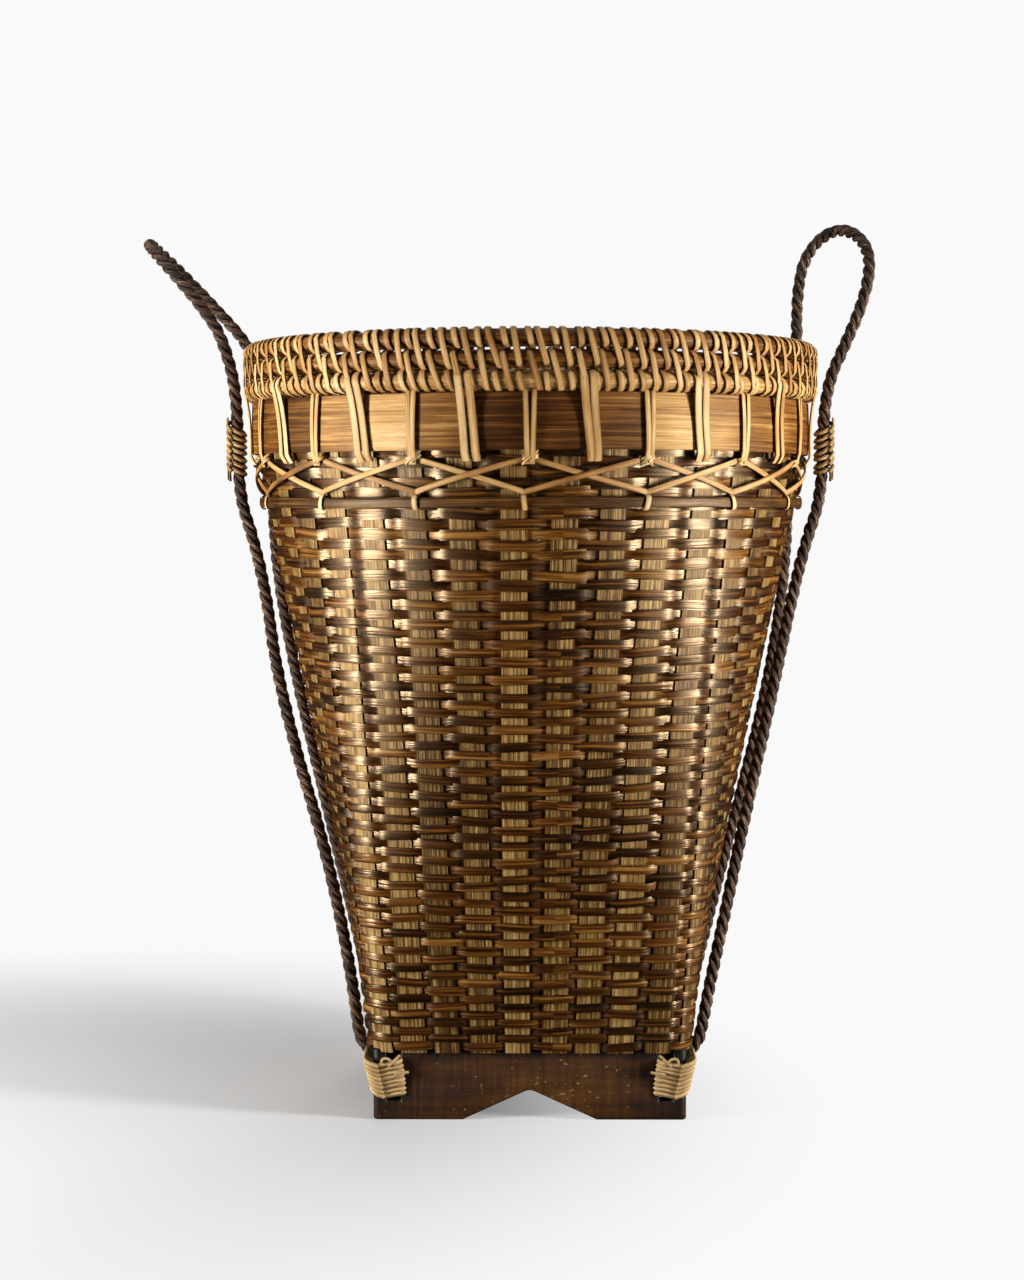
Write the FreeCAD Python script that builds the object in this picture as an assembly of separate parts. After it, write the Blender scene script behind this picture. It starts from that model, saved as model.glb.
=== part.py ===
import FreeCAD, Part
import math
import os

# A woven rattan carrying basket. Its wall grows from a square foot to a round rim of three
# sewn rods, it stands on a frame of four notched boards, and a rope strap hangs on each side.
# Millimetres, +Z up, front towards -Y, origin in the middle of the footprint at the floor.

# Gaps between pieces that lie on each other without touching
fit_gap = 0.3
winding_gap = 0.4

# Base frame: four boards on edge with a notch that leaves two feet on each
base_width = 168.0
board_height = 38.5
board_thickness = 11.0
board_corner_radius = 3.0
notch_width = 72.0
notch_height = 16.5
notch_tip_radius = 6.0

# Wall: rounded square at the foot, which stands out past the base, and a circle from the shoulder up
wall_overhang = 4.0
wall_foot_corner = 18.0
wall_thickness = 2.2
corner_angle = 14.0
shoulder_height = 330.0
shoulder_radius = 148.5
shoulder_flare = 4.0
lacing_zone_height = 27.0
band_height = 28.7
band_flare = 0.5

# Flat splints: the floor, and the stakes that the wall is woven round
splint_width = 13.4
splint_thickness = 1.2
splints_per_side = 8
stake_gap = 0.45
corner_stake_foot_width = 10.0

# Rim: outer and inner band, three rods, and the thin hoop at the shoulder
band_thickness = 2.5
inner_band_thickness = 2.0
rod_diameter = 8.8
rod_offset = 1.7
hoop_drop = 2.0
hoop_height = 5.5
hoop_thickness = 2.4

# Flat cane strips that sew the rim, tie the band and lace the shoulder
strip_width = 2.6
strip_thickness = 0.9
ties_per_quarter = 4
short_tie_spacing = 4.6
long_tie_drop = 3.5
lacing_top_gap = 4.0
lacing_bottom_gap = 4.5
lacing_gap = 0.5
lacing_end_angle = 0.8

# Places for strips side by side in one step of the rim's sewing
stitch_slots = 5
lower_short_slot = 2
upper_slot = 3

# Round cane wound round the base corners and the straps
cane_diameter = 2.6
cane_pitch = 3.3
corner_lash_turns = 7
corner_lash_front_reach = 13.0
corner_lash_side_reach = 24.0
corner_lash_bend = 4.7
corner_lash_top_gap = 0.6
corner_lash_tail = 9.0
strap_lash_turns = 7
strap_lash_drop = 5.0

# Rope straps: hole and stopper knot in the side boards, lashes on the band, loops above the rim
rope_diameter = 8.5
rope_hole_clearance = 0.4
rope_hole_drop = 11.5
rope_hole_lash_distance = 14.0
rope_mouth = 2.0
knot_diameter = 15.0
knot_depth = 12.5
strap_front_angle = 90.0
strap_straight_below = 12.0
strap_straight_above = 20.0
loop_axis_rise = 6.2
loop_joint_gap = 0.35

# Sizes that follow from those above
base_half = base_width / 2
board_inner = base_half - board_thickness
foot_half = base_half + wall_overhang
foot_flat = foot_half - wall_foot_corner
face_angle = (90 - corner_angle) / 2
stake_angle = 90 / (splints_per_side + 1)
splint_pitch = foot_flat * stake_angle / face_angle
floor_low = board_height
floor_middle = floor_low + splint_thickness
floor_top = floor_middle + splint_thickness
band_bottom = shoulder_height + lacing_zone_height
band_bottom_radius = shoulder_radius + shoulder_flare
wall_top = band_bottom + band_height
wall_top_radius = band_bottom_radius + band_flare
band_inner_radius = wall_top_radius + fit_gap
band_outer_radius = band_inner_radius + band_thickness
hoop_bottom = shoulder_height - hoop_drop
hoop_top = hoop_bottom + hoop_height
rod_radius = rod_diameter / 2
rod_circle_radius = wall_top_radius + rod_offset
stitch_inner = rod_radius + fit_gap
stitch_outer = stitch_inner + strip_thickness
rod_pitch = rod_radius + stitch_outer + fit_gap
rod_heights = [wall_top + fit_gap + stitch_outer + k * rod_pitch for k in range(3)]
rim_radius = rod_circle_radius + stitch_outer
rim_top = rod_heights[-1] + stitch_outer
tie_angle = 90 / ties_per_quarter
tie_count = 4 * ties_per_quarter
tie_arc = rod_circle_radius * math.radians(tie_angle)
stitches_per_tie = int(tie_arc / (stitch_slots * (strip_width + winding_gap)))
stitch_angle = tie_angle / stitches_per_tie
slot_angle = stitch_angle / stitch_slots
lacing_top = band_bottom - lacing_top_gap
lacing_bottom = hoop_top + lacing_bottom_gap
cane_radius = cane_diameter / 2
rope_radius = rope_diameter / 2
rope_hole_height = board_height - rope_hole_drop
rope_hole_y = base_half - corner_lash_side_reach - rope_hole_lash_distance
strap_radius = rim_radius + winding_gap + rope_radius
strap_back_angle = strap_front_angle + tie_angle
strap_lash_bottom = lacing_top - strap_lash_drop
strap_lash_top = strap_lash_bottom + (strap_lash_turns + 0.5) * cane_pitch
loop_axis_height = rim_top + loop_axis_rise

# Free points of the straps, from the board hole up to the lash, chosen by eye
right_front_route = [
    (93.2, -45.8, 33.5), (95.8, -45.5, 46), (99.5, -43.8, 66), (107.5, -39.5, 102),
    (120, -31.5, 160), (134.5, -21.5, 222), (148, -11.5, 276), (158, -5, 308),
]
right_back_route = [
    (93.2, 46.2, 33.5), (96, 46.8, 46), (101, 48, 66), (110, 50.5, 102),
    (124.5, 54, 157), (139.5, 57.5, 217), (148.5, 60.5, 270), (151.8, 62.2, 307),
]
left_front_route = [
    (-93.2, -45.8, 33.5), (-95.4, -45.5, 46), (-98, -44, 66), (-104.8, -40, 102),
    (-115.5, -34, 146), (-130.5, -26, 193), (-142.5, -17, 240), (-149, -9.5, 277),
    (-158.5, -3.5, 309),
]
left_back_route = [
    (-93.2, 46.2, 33.5), (-95.8, 46.8, 46), (-100, 48, 66), (-108.5, 50.5, 102),
    (-122, 54, 157), (-136.5, 57.5, 217), (-147, 60.5, 270), (-151.5, 62.2, 307),
]

# Points of the loops above the rim; the first and last lie on the loop's swing axis
right_loop_route = [
    (179, 0, loop_axis_height), (185, -2, 439), (189.5, -1.5, 455), (191, 5.5, 470),
    (187, 19, 482), (178, 34, 488), (167.5, 49, 483.5), (160, 60, 471),
    (157.8, 65, 454.5), (157.2, 65.3, 438.5), (157.5, 64.3, loop_axis_height),
]
left_loop_route = [
    (-173.5, 0, loop_axis_height), (-183, -1.5, 438.5), (-196, -1.5, 454.5), (-208.5, 4.5, 468),
    (-216.5, 17.5, 476.5), (-219, 33.5, 479.3), (-215, 49, 475.5), (-206, 60.5, 466.2),
    (-194, 66, 453.5), (-180, 66, 438.5), (-167, 64.3, loop_axis_height),
]


def vec(x, y, z):
    return FreeCAD.Vector(x, y, z)


def polar(radius, angle, z):
    """A point at an angle in degrees from the front, positive towards +X."""
    turn = math.radians(angle)
    return vec(radius * math.sin(turn), -radius * math.cos(turn), z)


def unit(vector):
    return vector * (1 / vector.Length)


def turned(shape, angle):
    """A copy of a shape, modelled with +X outwards, turned to an angle from the front."""
    copy = shape.copy()
    copy.rotate(vec(0, 0, 0), vec(0, 0, 1), angle - 90)
    return copy


def save(node, solids):
    """Writes one solid, or a group of separate solids, as parts/NODE.step."""
    shape = solids[0] if len(solids) == 1 else Part.makeCompound(solids)
    for solid in shape.Solids:
        if not solid.isValid():
            print("not valid:", node)
    shape.exportStep("parts/" + node + ".step")


def wall_radius(z):
    """Outer radius of the wall between the shoulder and its top edge."""
    if z < band_bottom:
        share = (z - shoulder_height) / (band_bottom - shoulder_height)
        return shoulder_radius + share * (band_bottom_radius - shoulder_radius)
    share = (z - band_bottom) / (wall_top - band_bottom)
    return band_bottom_radius + share * (wall_top_radius - band_bottom_radius)


# Base frame

def notch_prism():
    """The notch cut out of a board's lower edge, along Y, wider than the board is thick."""
    half = notch_width / 2
    slope = math.atan2(notch_height, half)
    flat = notch_tip_radius * math.sin(slope)
    drop = flat * math.tan(slope)
    tip = notch_height - drop + notch_tip_radius * (1 - math.cos(slope))
    left, right = vec(-flat, 0, notch_height - drop), vec(flat, 0, notch_height - drop)
    edges = [
        Part.makeLine(vec(-half, 0, 0), left),
        Part.Arc(left, vec(0, 0, tip), right).toShape(),
        Part.makeLine(right, vec(half, 0, 0)),
        Part.makeLine(vec(half, 0, 0), vec(-half, 0, 0)),
    ]
    prism = Part.Face(Part.Wire(edges)).extrude(vec(0, 2 * board_thickness, 0))
    prism.translate(vec(0, -board_thickness, 0))
    return prism


slot_half = cane_radius + winding_gap
slot_span = slot_half + corner_lash_bend + cane_radius
lash_top = board_height - corner_lash_top_gap - cane_radius
lash_start = lash_top - (corner_lash_turns + 0.5) * cane_pitch
slot_floor = lash_start - cane_radius - winding_gap


def slot(edge_distance):
    """A slot for a corner lash, open at the top edge, at a distance in from the frame's corner."""
    low = base_half - edge_distance - slot_half
    box = Part.makeBox(slot_span, 2 * board_thickness, board_height)
    box.translate(vec(low, -board_thickness, slot_floor))
    return box


def lying_board(length, slot_distance):
    """A board along X with its notch and two lash slots, centred on Y = 0."""
    board = Part.makeBox(length, board_thickness, board_height)
    board.translate(vec(-length / 2, -board_thickness / 2, 0))
    lash_slot = slot(slot_distance)
    board = board.cut(notch_prism()).cut(lash_slot)
    return board.cut(lash_slot.mirror(vec(0, 0, 0), vec(1, 0, 0)))


def end_board():
    """The front board, as wide as the base, with its outer corners rounded."""
    board = lying_board(base_width, corner_lash_front_reach)
    board.translate(vec(0, -base_half + board_thickness / 2, 0))
    corners = []
    for edge in board.Edges:
        middle = edge.CenterOfMass
        upright = abs(edge.tangentAt(edge.FirstParameter).z) > 0.99
        if upright and abs(abs(middle.x) - base_half) < 1e-6 and abs(middle.y + base_half) < 1e-6:
            corners.append(edge)
    return board.makeFillet(board_corner_radius, corners)


def side_board():
    """The right board, held between the front and back ones, with a hole for each strap end."""
    board = lying_board(2 * board_inner, corner_lash_side_reach)
    board.rotate(vec(0, 0, 0), vec(0, 0, 1), 90)
    board.translate(vec(base_half - board_thickness / 2, 0, 0))
    hole_radius = rope_radius + rope_hole_clearance
    for y in (-rope_hole_y, rope_hole_y):
        start = vec(board_inner - 1, y, rope_hole_height)
        board = board.cut(Part.makeCylinder(hole_radius, board_thickness + 2, start, vec(1, 0, 0)))
    return board


# Round cane wound on biarcs

def half_biarc(start, corner, end):
    """The arc that leaves start towards corner and reaches end from corner."""
    chord_middle = (start + end) * 0.5
    cosine = (end - start).Length / 2 / (corner - start).Length
    if cosine > 1 - 1e-9:
        return Part.LineSegment(start, end).toShape()
    middle = chord_middle + (corner - chord_middle) * (cosine / (1 + cosine))
    return Part.Arc(start, middle, end).toShape()


def biarc(start, start_way, end, end_way):
    """Two arcs, tangent to each other, that join two points with given directions."""
    chord = end - start
    ways = start_way + end_way
    bend = 2 * (1 - start_way.dot(end_way))
    if bend < 1e-9:
        reach = chord.dot(chord) / (2 * chord.dot(ways))
    else:
        across = chord.dot(ways)
        reach = (math.sqrt(across * across + bend * chord.dot(chord)) - across) / bend
    first, second = start + start_way * reach, end - end_way * reach
    middle = (first + second) * 0.5
    return [half_biarc(start, first, middle), half_biarc(middle, second, end)]


def wound_tube(nodes, name):
    """A round cane along points with directions; prints the least gap between its turns."""
    edges = []
    for (start, start_way), (end, end_way) in zip(nodes, nodes[1:]):
        edges += biarc(start, start_way, end, end_way)
    path = Part.Wire(edges)
    ring = Part.Wire([Part.makeCircle(cane_radius, nodes[0][0], nodes[0][1])])
    tube = path.makePipeShell([ring], True, False)
    step = cane_diameter / 3
    points = path.discretize(Number=int(path.Length / step))
    skip = int(4 * cane_diameter / step)
    least = min(
        (points[i] - points[j]).Length
        for i in range(len(points))
        for j in range(i + skip, len(points))
    )
    share = tube.Volume / (math.pi * cane_radius ** 2 * path.Length)
    print(f"{name}: least gap {least - cane_diameter:.2f} mm, volume share {share:.4f}")
    return tube


def sloped(way, slope):
    return unit(vec(way[0], way[1], slope))


def corner_lash():
    """The front right winding: out by the side board's slot, round the corner, in by the front one."""
    bend = corner_lash_bend
    outside = base_half + winding_gap + cane_radius
    x_in, x_out = base_half - corner_lash_front_reach, outside
    y_in, y_out = -(base_half - corner_lash_side_reach), -outside
    stations = [
        ((x_in + bend, y_in), (1, 0)), ((x_out - bend, y_in), (1, 0)),
        ((x_out, y_in - bend), (0, -1)), ((x_out, y_out + bend), (0, -1)),
        ((x_out - bend, y_out), (-1, 0)), ((x_in + bend, y_out), (-1, 0)),
        ((x_in, y_out + bend), (0, 1)), ((x_in, y_in - bend), (0, 1)),
    ]
    quarter = math.pi / 2 * bend
    steps = [x_out - x_in - 2 * bend, quarter, y_in - y_out - 2 * bend, quarter] * 2
    slope = cane_pitch / sum(steps)
    tail = vec(stations[0][0][0] - corner_lash_tail, y_in, lash_start - corner_lash_tail * slope)
    nodes = [(tail, sloped((1, 0), slope))]
    travelled = 0.0
    for turn in range(corner_lash_turns):
        for ((x, y), way), step in zip(stations, steps):
            nodes.append((vec(x, y, lash_start + travelled * slope), sloped(way, slope)))
            travelled += step
    last, last_way = nodes[-1]
    nodes.append((last + last_way * corner_lash_tail, last_way))
    return wound_tube(nodes, "corner lash")


def strap_lash():
    """A winding round a strap that stands at strap_radius along +X, with both ends at the wall."""
    coil = rope_radius + winding_gap + cane_radius
    slope = cane_pitch / (2 * math.pi * coil)
    quarters = strap_lash_turns * 4 + 2
    low = strap_lash_bottom
    start_x = wall_radius(low) + fit_gap
    nodes = [(vec(start_x, -coil, low), vec(1, 0, 0))]
    for quarter in range(quarters + 1):
        turn = quarter * math.pi / 2
        place = vec(strap_radius + coil * math.sin(turn), -coil * math.cos(turn),
                    low + quarter * cane_pitch / 4)
        flat = 0 if quarter in (0, quarters) else slope
        nodes.append((place, sloped((math.cos(turn), math.sin(turn)), flat)))
    last = nodes[-1][0]
    nodes.append((vec(band_outer_radius + fit_gap, last.y, last.z), vec(-1, 0, 0)))
    return wound_tube(nodes, "strap lash")


# Floor splints and stakes

def splint_places():
    """Distances of a side's splints from the middle of that side."""
    middle = (splints_per_side - 1) / 2
    return [(k - middle) * splint_pitch for k in range(splints_per_side)]


def floor_reach():
    return foot_half - wall_thickness - stake_gap


def floor_splint(place, low):
    """A flat splint across the floor, along Y."""
    box = Part.makeBox(splint_width, 2 * floor_reach(), splint_thickness)
    box.translate(vec(place - splint_width / 2, -floor_reach(), low))
    return box


def flat_section(middle, outward, width):
    """A splint's cross-section: middle is halfway along its outer edge, outward leaves the wall."""
    along = vec(-outward.y, outward.x, 0) * (width / 2)
    inner = middle - outward * splint_thickness
    corners = [middle - along, middle + along, inner + along, inner - along]
    return Part.makePolygon(corners + corners[:1])


def round_section(angle, z, radius):
    """A stake's cross-section inside the round part of the wall."""
    inside = radius - wall_thickness
    reach = math.sqrt(inside ** 2 - (splint_width / 2) ** 2) - stake_gap
    return flat_section(polar(reach, angle, z), polar(1, angle, 0), splint_width)


def stake(foot_section, angle):
    """A stake from its foot up the wall's inside to the top edge."""
    sections = [
        foot_section,
        round_section(angle, shoulder_height, shoulder_radius),
        round_section(angle, band_bottom, band_bottom_radius),
        round_section(angle, wall_top - fit_gap, wall_radius(wall_top - fit_gap)),
    ]
    return Part.makeLoft(sections, True, True)


def side_stakes(side, foot):
    """The stakes of one side, modelled at the front and turned to the side's angle."""
    stakes = []
    for place in splint_places():
        section = flat_section(vec(place, -floor_reach(), foot), vec(0, -1, 0), splint_width)
        stakes.append(turned(stake(section, place / foot_flat * face_angle), side + 90))
    return stakes


def corner_stake(angle):
    """A stake in a corner of the wall, standing on the boards."""
    inside = wall_foot_corner - wall_thickness
    reach = foot_flat * math.sqrt(2) - stake_gap
    reach += math.sqrt(inside ** 2 - (corner_stake_foot_width / 2) ** 2)
    foot = polar(reach, angle, board_height)
    return stake(flat_section(foot, polar(1, angle, 0), corner_stake_foot_width), angle)


# Wall and rim

def foot_wire(inset):
    """The wall's rounded square at the foot, one line and one arc a side."""
    half, flat = foot_half - inset, foot_flat
    bow = flat + (half - flat) * math.sqrt(0.5)
    edges = []
    for side in range(4):
        line = Part.makeLine(vec(-flat, -half, board_height), vec(flat, -half, board_height))
        arc = Part.Arc(vec(flat, -half, board_height), vec(bow, -bow, board_height),
                       vec(half, -flat, board_height)).toShape()
        for edge in (line, arc):
            edge.rotate(vec(0, 0, 0), vec(0, 0, 1), 90 * side)
            edges.append(edge)
    return Part.Wire(edges)


def round_wire(radius, z):
    """A circle in the same eight edges as the foot's rounded square."""
    edges = []
    for side in range(4):
        ends = [90 * side - face_angle, 90 * side + face_angle, 90 * side + 90 - face_angle]
        for low, high in zip(ends, ends[1:]):
            points = [polar(radius, angle, z) for angle in (low, (low + high) / 2, high)]
            edges.append(Part.Arc(*points).toShape())
    return Part.Wire(edges)


def wall_body(inset):
    wires = [
        foot_wire(inset),
        round_wire(shoulder_radius - inset, shoulder_height),
        round_wire(band_bottom_radius - inset, band_bottom),
        round_wire(wall_top_radius - inset, wall_top),
    ]
    return Part.makeLoft(wires, True, True)


def ring(inner, thickness, low, high):
    """A flat hoop with an upright section."""
    outer = Part.makeCylinder(inner + thickness, high - low, vec(0, 0, low))
    return outer.cut(Part.makeCylinder(inner, high - low, vec(0, 0, low)))


def inner_band_radius():
    """Outer radius of the inner band, against the stakes at their narrowest."""
    inside = band_bottom_radius - wall_thickness
    reach = math.sqrt(inside ** 2 - (splint_width / 2) ** 2)
    return reach - stake_gap - splint_thickness - fit_gap


def strip(outline):
    """A strip with that outline in the XZ plane, strip_width wide across Y."""
    solid = Part.Face(Part.Wire(outline)).extrude(vec(0, strip_width, 0))
    solid.translate(vec(0, -strip_width / 2, 0))
    return solid


def upright_loop(radius, low, high):
    """A circle round one rod, or a long loop round two, in the XZ plane."""
    centre = rod_circle_radius
    inside, outside = centre - radius, centre + radius
    if low == high:
        return Part.Wire([Part.makeCircle(radius, vec(centre, 0, low), vec(0, 1, 0))])
    return Part.Wire([
        Part.Arc(vec(inside, 0, high), vec(centre, 0, high + radius), vec(outside, 0, high)).toShape(),
        Part.makeLine(vec(outside, 0, high), vec(outside, 0, low)),
        Part.Arc(vec(outside, 0, low), vec(centre, 0, low - radius), vec(inside, 0, low)).toShape(),
        Part.makeLine(vec(inside, 0, low), vec(inside, 0, high)),
    ])


def rim_stitch(low, high):
    """A stitch that closes round the rods from one height to another."""
    outer = strip(upright_loop(stitch_outer, low, high))
    return outer.cut(strip(upright_loop(stitch_inner, low, high)))


def short_tie():
    """A strip over the band that turns in under it to the wall."""
    face = band_outer_radius + fit_gap
    under = band_bottom - fit_gap
    wall = wall_radius(under - strip_thickness) + 2 * fit_gap
    return strip(Part.makePolygon([
        vec(face, 0, wall_top), vec(face + strip_thickness, 0, wall_top),
        vec(face + strip_thickness, 0, under - strip_thickness), vec(wall, 0, under - strip_thickness),
        vec(wall, 0, under), vec(face, 0, under), vec(face, 0, wall_top),
    ]))


def long_tie():
    """A strip from between two rods, over the lowest rod and the band, to the wall below."""
    centre = vec(rod_circle_radius, 0, rod_heights[0])
    edge = vec(band_outer_radius + fit_gap, 0, band_bottom - fit_gap)
    reach = centre - edge
    lean = math.atan2(reach.z, reach.x) - math.asin(stitch_inner / reach.Length)
    along, out = vec(math.cos(lean), 0, math.sin(lean)), vec(math.sin(lean), 0, -math.cos(lean))
    half_way = vec(math.cos(math.pi / 4), 0, math.sin(math.pi / 4))
    foot = edge - along * long_tie_drop
    outer_foot = foot + out * strip_thickness
    sole = foot.z - strip_thickness
    outer_sole = outer_foot + along * ((sole - outer_foot.z) / along.z)
    wall = wall_radius(sole) + 2 * fit_gap
    top_in, top_out = centre + vec(0, 0, stitch_inner), centre + vec(0, 0, stitch_outer)
    low_in, low_out = centre + out * stitch_inner, centre + out * stitch_outer
    return strip(Part.Wire([
        Part.Arc(top_out, centre + half_way * stitch_outer, low_out).toShape(),
        Part.makeLine(low_out, outer_sole),
        Part.makeLine(outer_sole, vec(wall, 0, sole)),
        Part.makeLine(vec(wall, 0, sole), vec(wall, 0, foot.z)),
        Part.makeLine(vec(wall, 0, foot.z), foot),
        Part.makeLine(foot, low_in),
        Part.Arc(low_in, centre + half_way * stitch_inner, top_in).toShape(),
        Part.makeLine(top_in, top_out),
    ]))


def hoop_inner_radius():
    return wall_radius(hoop_top) + fit_gap


def hoop_tie():
    """A small strip round the thin hoop, with both ends turned in to the wall."""
    out = hoop_inner_radius() + hoop_thickness + fit_gap
    high, low = hoop_top + fit_gap, hoop_bottom - fit_gap
    wall_high = wall_radius(high + strip_thickness) + fit_gap
    wall_low = shoulder_radius + fit_gap
    return strip(Part.makePolygon([
        vec(wall_high, 0, high + strip_thickness), vec(out + strip_thickness, 0, high + strip_thickness),
        vec(out + strip_thickness, 0, low - strip_thickness), vec(wall_low, 0, low - strip_thickness),
        vec(wall_low, 0, low), vec(out, 0, low), vec(out, 0, high), vec(wall_high, 0, high),
        vec(wall_high, 0, high + strip_thickness),
    ]))


def lacing_run(angle, start, end, offset):
    """A curved strip on the wall from one tie angle to the next, between two heights."""
    points = []
    for share in (0, 0.5, 1):
        z = start + share * (end - start)
        place = angle + lacing_end_angle + share * (tie_angle - 2 * lacing_end_angle)
        points.append(polar(wall_radius(z) + offset, place, z))
    arc = Part.Arc(*points).toShape()
    centre, axis = arc.Curve.Center, arc.Curve.Axis
    outward = unit(points[0] - centre)
    across = unit(axis) * (strip_width / 2)
    outer = points[0] + outward * strip_thickness
    section = Part.Wire(Part.makePolygon([
        points[0] - across, points[0] + across, outer + across, outer - across, points[0] - across,
    ]))
    sweep = math.degrees(arc.LastParameter - arc.FirstParameter)
    return Part.Face(section).revolve(centre, axis, sweep)


def lacing(first_end, second_end, offset):
    """A zigzag of strips all round the shoulder."""
    runs = []
    for k in range(tie_count):
        start, end = (first_end, second_end) if k % 2 == 0 else (second_end, first_end)
        runs.append(lacing_run(k * tie_angle, start, end, offset))
    return runs


# Rope straps; each bend's arc takes up this share of the shorter run beside it

arc_share = 0.45


def rope(points, name):
    """A rope along straight runs joined by tangent arcs; prints its length, volume share and radii."""
    points = [vec(*p) for p in points]
    edges, radii = [], []
    at = points[0]
    for before, corner, after in zip(points, points[1:], points[2:]):
        into, out = corner - before, after - corner
        turn = into.getAngle(out)
        cut = arc_share * min(into.Length, out.Length)
        radii.append(cut / math.tan(turn / 2))
        arc_start, arc_end = corner - unit(into) * cut, corner + unit(out) * cut
        edges.append(Part.LineSegment(at, arc_start).toShape())
        edges.append(half_biarc(arc_start, corner, arc_end))
        at = arc_end
    edges.append(Part.LineSegment(at, points[-1]).toShape())
    path = Part.Wire(edges)
    section = Part.Wire([Part.makeCircle(rope_radius, points[0], points[1] - points[0])])
    tube = path.makePipeShell([section], True, False)
    share = tube.Volume / (math.pi * rope_radius ** 2 * path.Length)
    tight = ", ".join(f"{radius:.0f}" for radius in radii)
    print(f"{name}: length {path.Length:.0f} mm, volume share {share:.4f}, radii {tight}")
    return tube


def strap_end(side, y):
    """The two points of a strap's end in its board hole; side is -1 for left and 1 for right."""
    inside = board_inner - fit_gap
    mouth = base_half + rope_mouth
    return [(side * inside, y, rope_hole_height), (side * mouth, y, rope_hole_height)]


def strap_top(angle, axis_point):
    """The upright stretch through the lash, then the lean towards the loop's swing axis."""
    low = polar(strap_radius, angle, strap_lash_bottom - strap_straight_below)
    high = polar(strap_radius, angle, strap_lash_top + strap_straight_above)
    end = vec(*axis_point)
    stop = end - unit(end - high) * (rope_radius + loop_joint_gap)
    return [low, high, stop]


def strap_run(side, y, route, angle, axis_point, name):
    points = strap_end(side, y) + route
    return rope(points + [tuple(p) for p in strap_top(angle, axis_point)], name)


def strap_loop(route, name):
    """A loop above the rim, with a round end on the swing axis at each side."""
    loop = rope(route, name)
    for end in (route[0], route[-1]):
        loop = loop.fuse(Part.makeSphere(rope_radius, vec(*end)))
    return loop.removeSplitter()


def strap_knot(y):
    """The knot that stops a left strap's end inside the base frame, flat towards the rope's end."""
    flat = board_inner - 2 * fit_gap
    middle = flat - knot_depth + knot_diameter / 2
    ball = Part.makeSphere(knot_diameter / 2, vec(-middle, y, rope_hole_height))
    room = Part.makeBox(flat, knot_diameter, knot_diameter)
    room.translate(vec(-flat, y - knot_diameter / 2, rope_hole_height - knot_diameter / 2))
    return ball.common(room)


def mirrored(shape, normal):
    return shape.mirror(vec(0, 0, 0), normal)


os.makedirs("parts", exist_ok=True)
sideways, lengthways = vec(1, 0, 0), vec(0, 1, 0)

front_board, right_board = end_board(), side_board()
save("base_board_front", [front_board])
save("base_board_back", [mirrored(front_board, lengthways)])
save("base_board_right", [right_board])
save("base_board_left", [mirrored(right_board, sideways)])

front_right_lash = corner_lash()
back_right_lash = mirrored(front_right_lash, lengthways)
save("corner_lash_front_right", [front_right_lash])
save("corner_lash_front_left", [mirrored(front_right_lash, sideways)])
save("corner_lash_back_right", [back_right_lash])
save("corner_lash_back_left", [mirrored(back_right_lash, sideways)])

for number, place in enumerate(splint_places(), 1):
    save(f"floor_splint_lengthwise_{number}", [floor_splint(place, floor_low)])
    across = turned(floor_splint(-place, floor_middle), 180)
    save(f"floor_splint_crosswise_{number}", [across])

save("stakes_front", side_stakes(0, floor_middle))
save("stakes_right", side_stakes(90, floor_top))
save("stakes_back", side_stakes(180, floor_middle))
save("stakes_left", side_stakes(270, floor_top))
save("corner_stakes", [corner_stake(45 + 90 * k) for k in range(4)])

save("woven_wall", [wall_body(0).cut(wall_body(wall_thickness))])
save("lower_hoop", [ring(hoop_inner_radius(), hoop_thickness, hoop_bottom, hoop_top)])
save("rim_band_outer", [ring(band_inner_radius, band_thickness, band_bottom, wall_top)])
inner_radius = inner_band_radius() - inner_band_thickness
save("rim_band_inner", [ring(inner_radius, inner_band_thickness, band_bottom, wall_top)])
for name, height in zip(("lower", "middle", "upper"), rod_heights):
    save("rim_rod_" + name, [Part.makeTorus(rod_circle_radius, rod_radius, vec(0, 0, height))])

low_rod, middle_rod, high_rod = rod_heights
upper_start = upper_slot * slot_angle
lower_start = lower_short_slot * slot_angle
stitch_rows = [
    ("upper_short", rim_stitch(high_rod, high_rod), upper_start, 2 * stitch_angle),
    ("upper_long", rim_stitch(middle_rod, high_rod), upper_start + stitch_angle, 2 * stitch_angle),
    ("lower_long", rim_stitch(low_rod, middle_rod), 0, stitch_angle),
    ("lower_short", rim_stitch(low_rod, low_rod), lower_start, stitch_angle),
]
for name, stitch, first, step in stitch_rows:
    stitches = [turned(stitch, first + k * step) for k in range(round(360 / step))]
    save("rim_stitches_" + name, stitches)

short_half = math.degrees(short_tie_spacing / 2 / band_outer_radius)
long_middle = stitches_per_tie // 2 * stitch_angle
strap_angles = (strap_front_angle, strap_back_angle)
strap_places = [side * angle % 360 for side in (-1, 1) for angle in strap_angles]
short_ties, long_ties, hoop_ties = [], [], []
for k in range(tie_count):
    angle = k * tie_angle
    free = all(abs(angle - place) > slot_angle for place in strap_places)
    for side in (-1, 1):
        long_ties.append(turned(long_tie(), angle + long_middle + side * slot_angle))
        if free:
            short_ties.append(turned(short_tie(), angle + side * short_half))
    hoop_ties.append(turned(hoop_tie(), angle))
save("band_ties_short", short_ties)
save("band_ties_long", long_ties)
save("hoop_ties", hoop_ties)
over_gap = lacing_gap + strip_thickness + 2 * fit_gap
save("cross_lacing_under", lacing(lacing_top, lacing_bottom, lacing_gap))
save("cross_lacing_over", lacing(lacing_bottom, lacing_top, over_gap))

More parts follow.
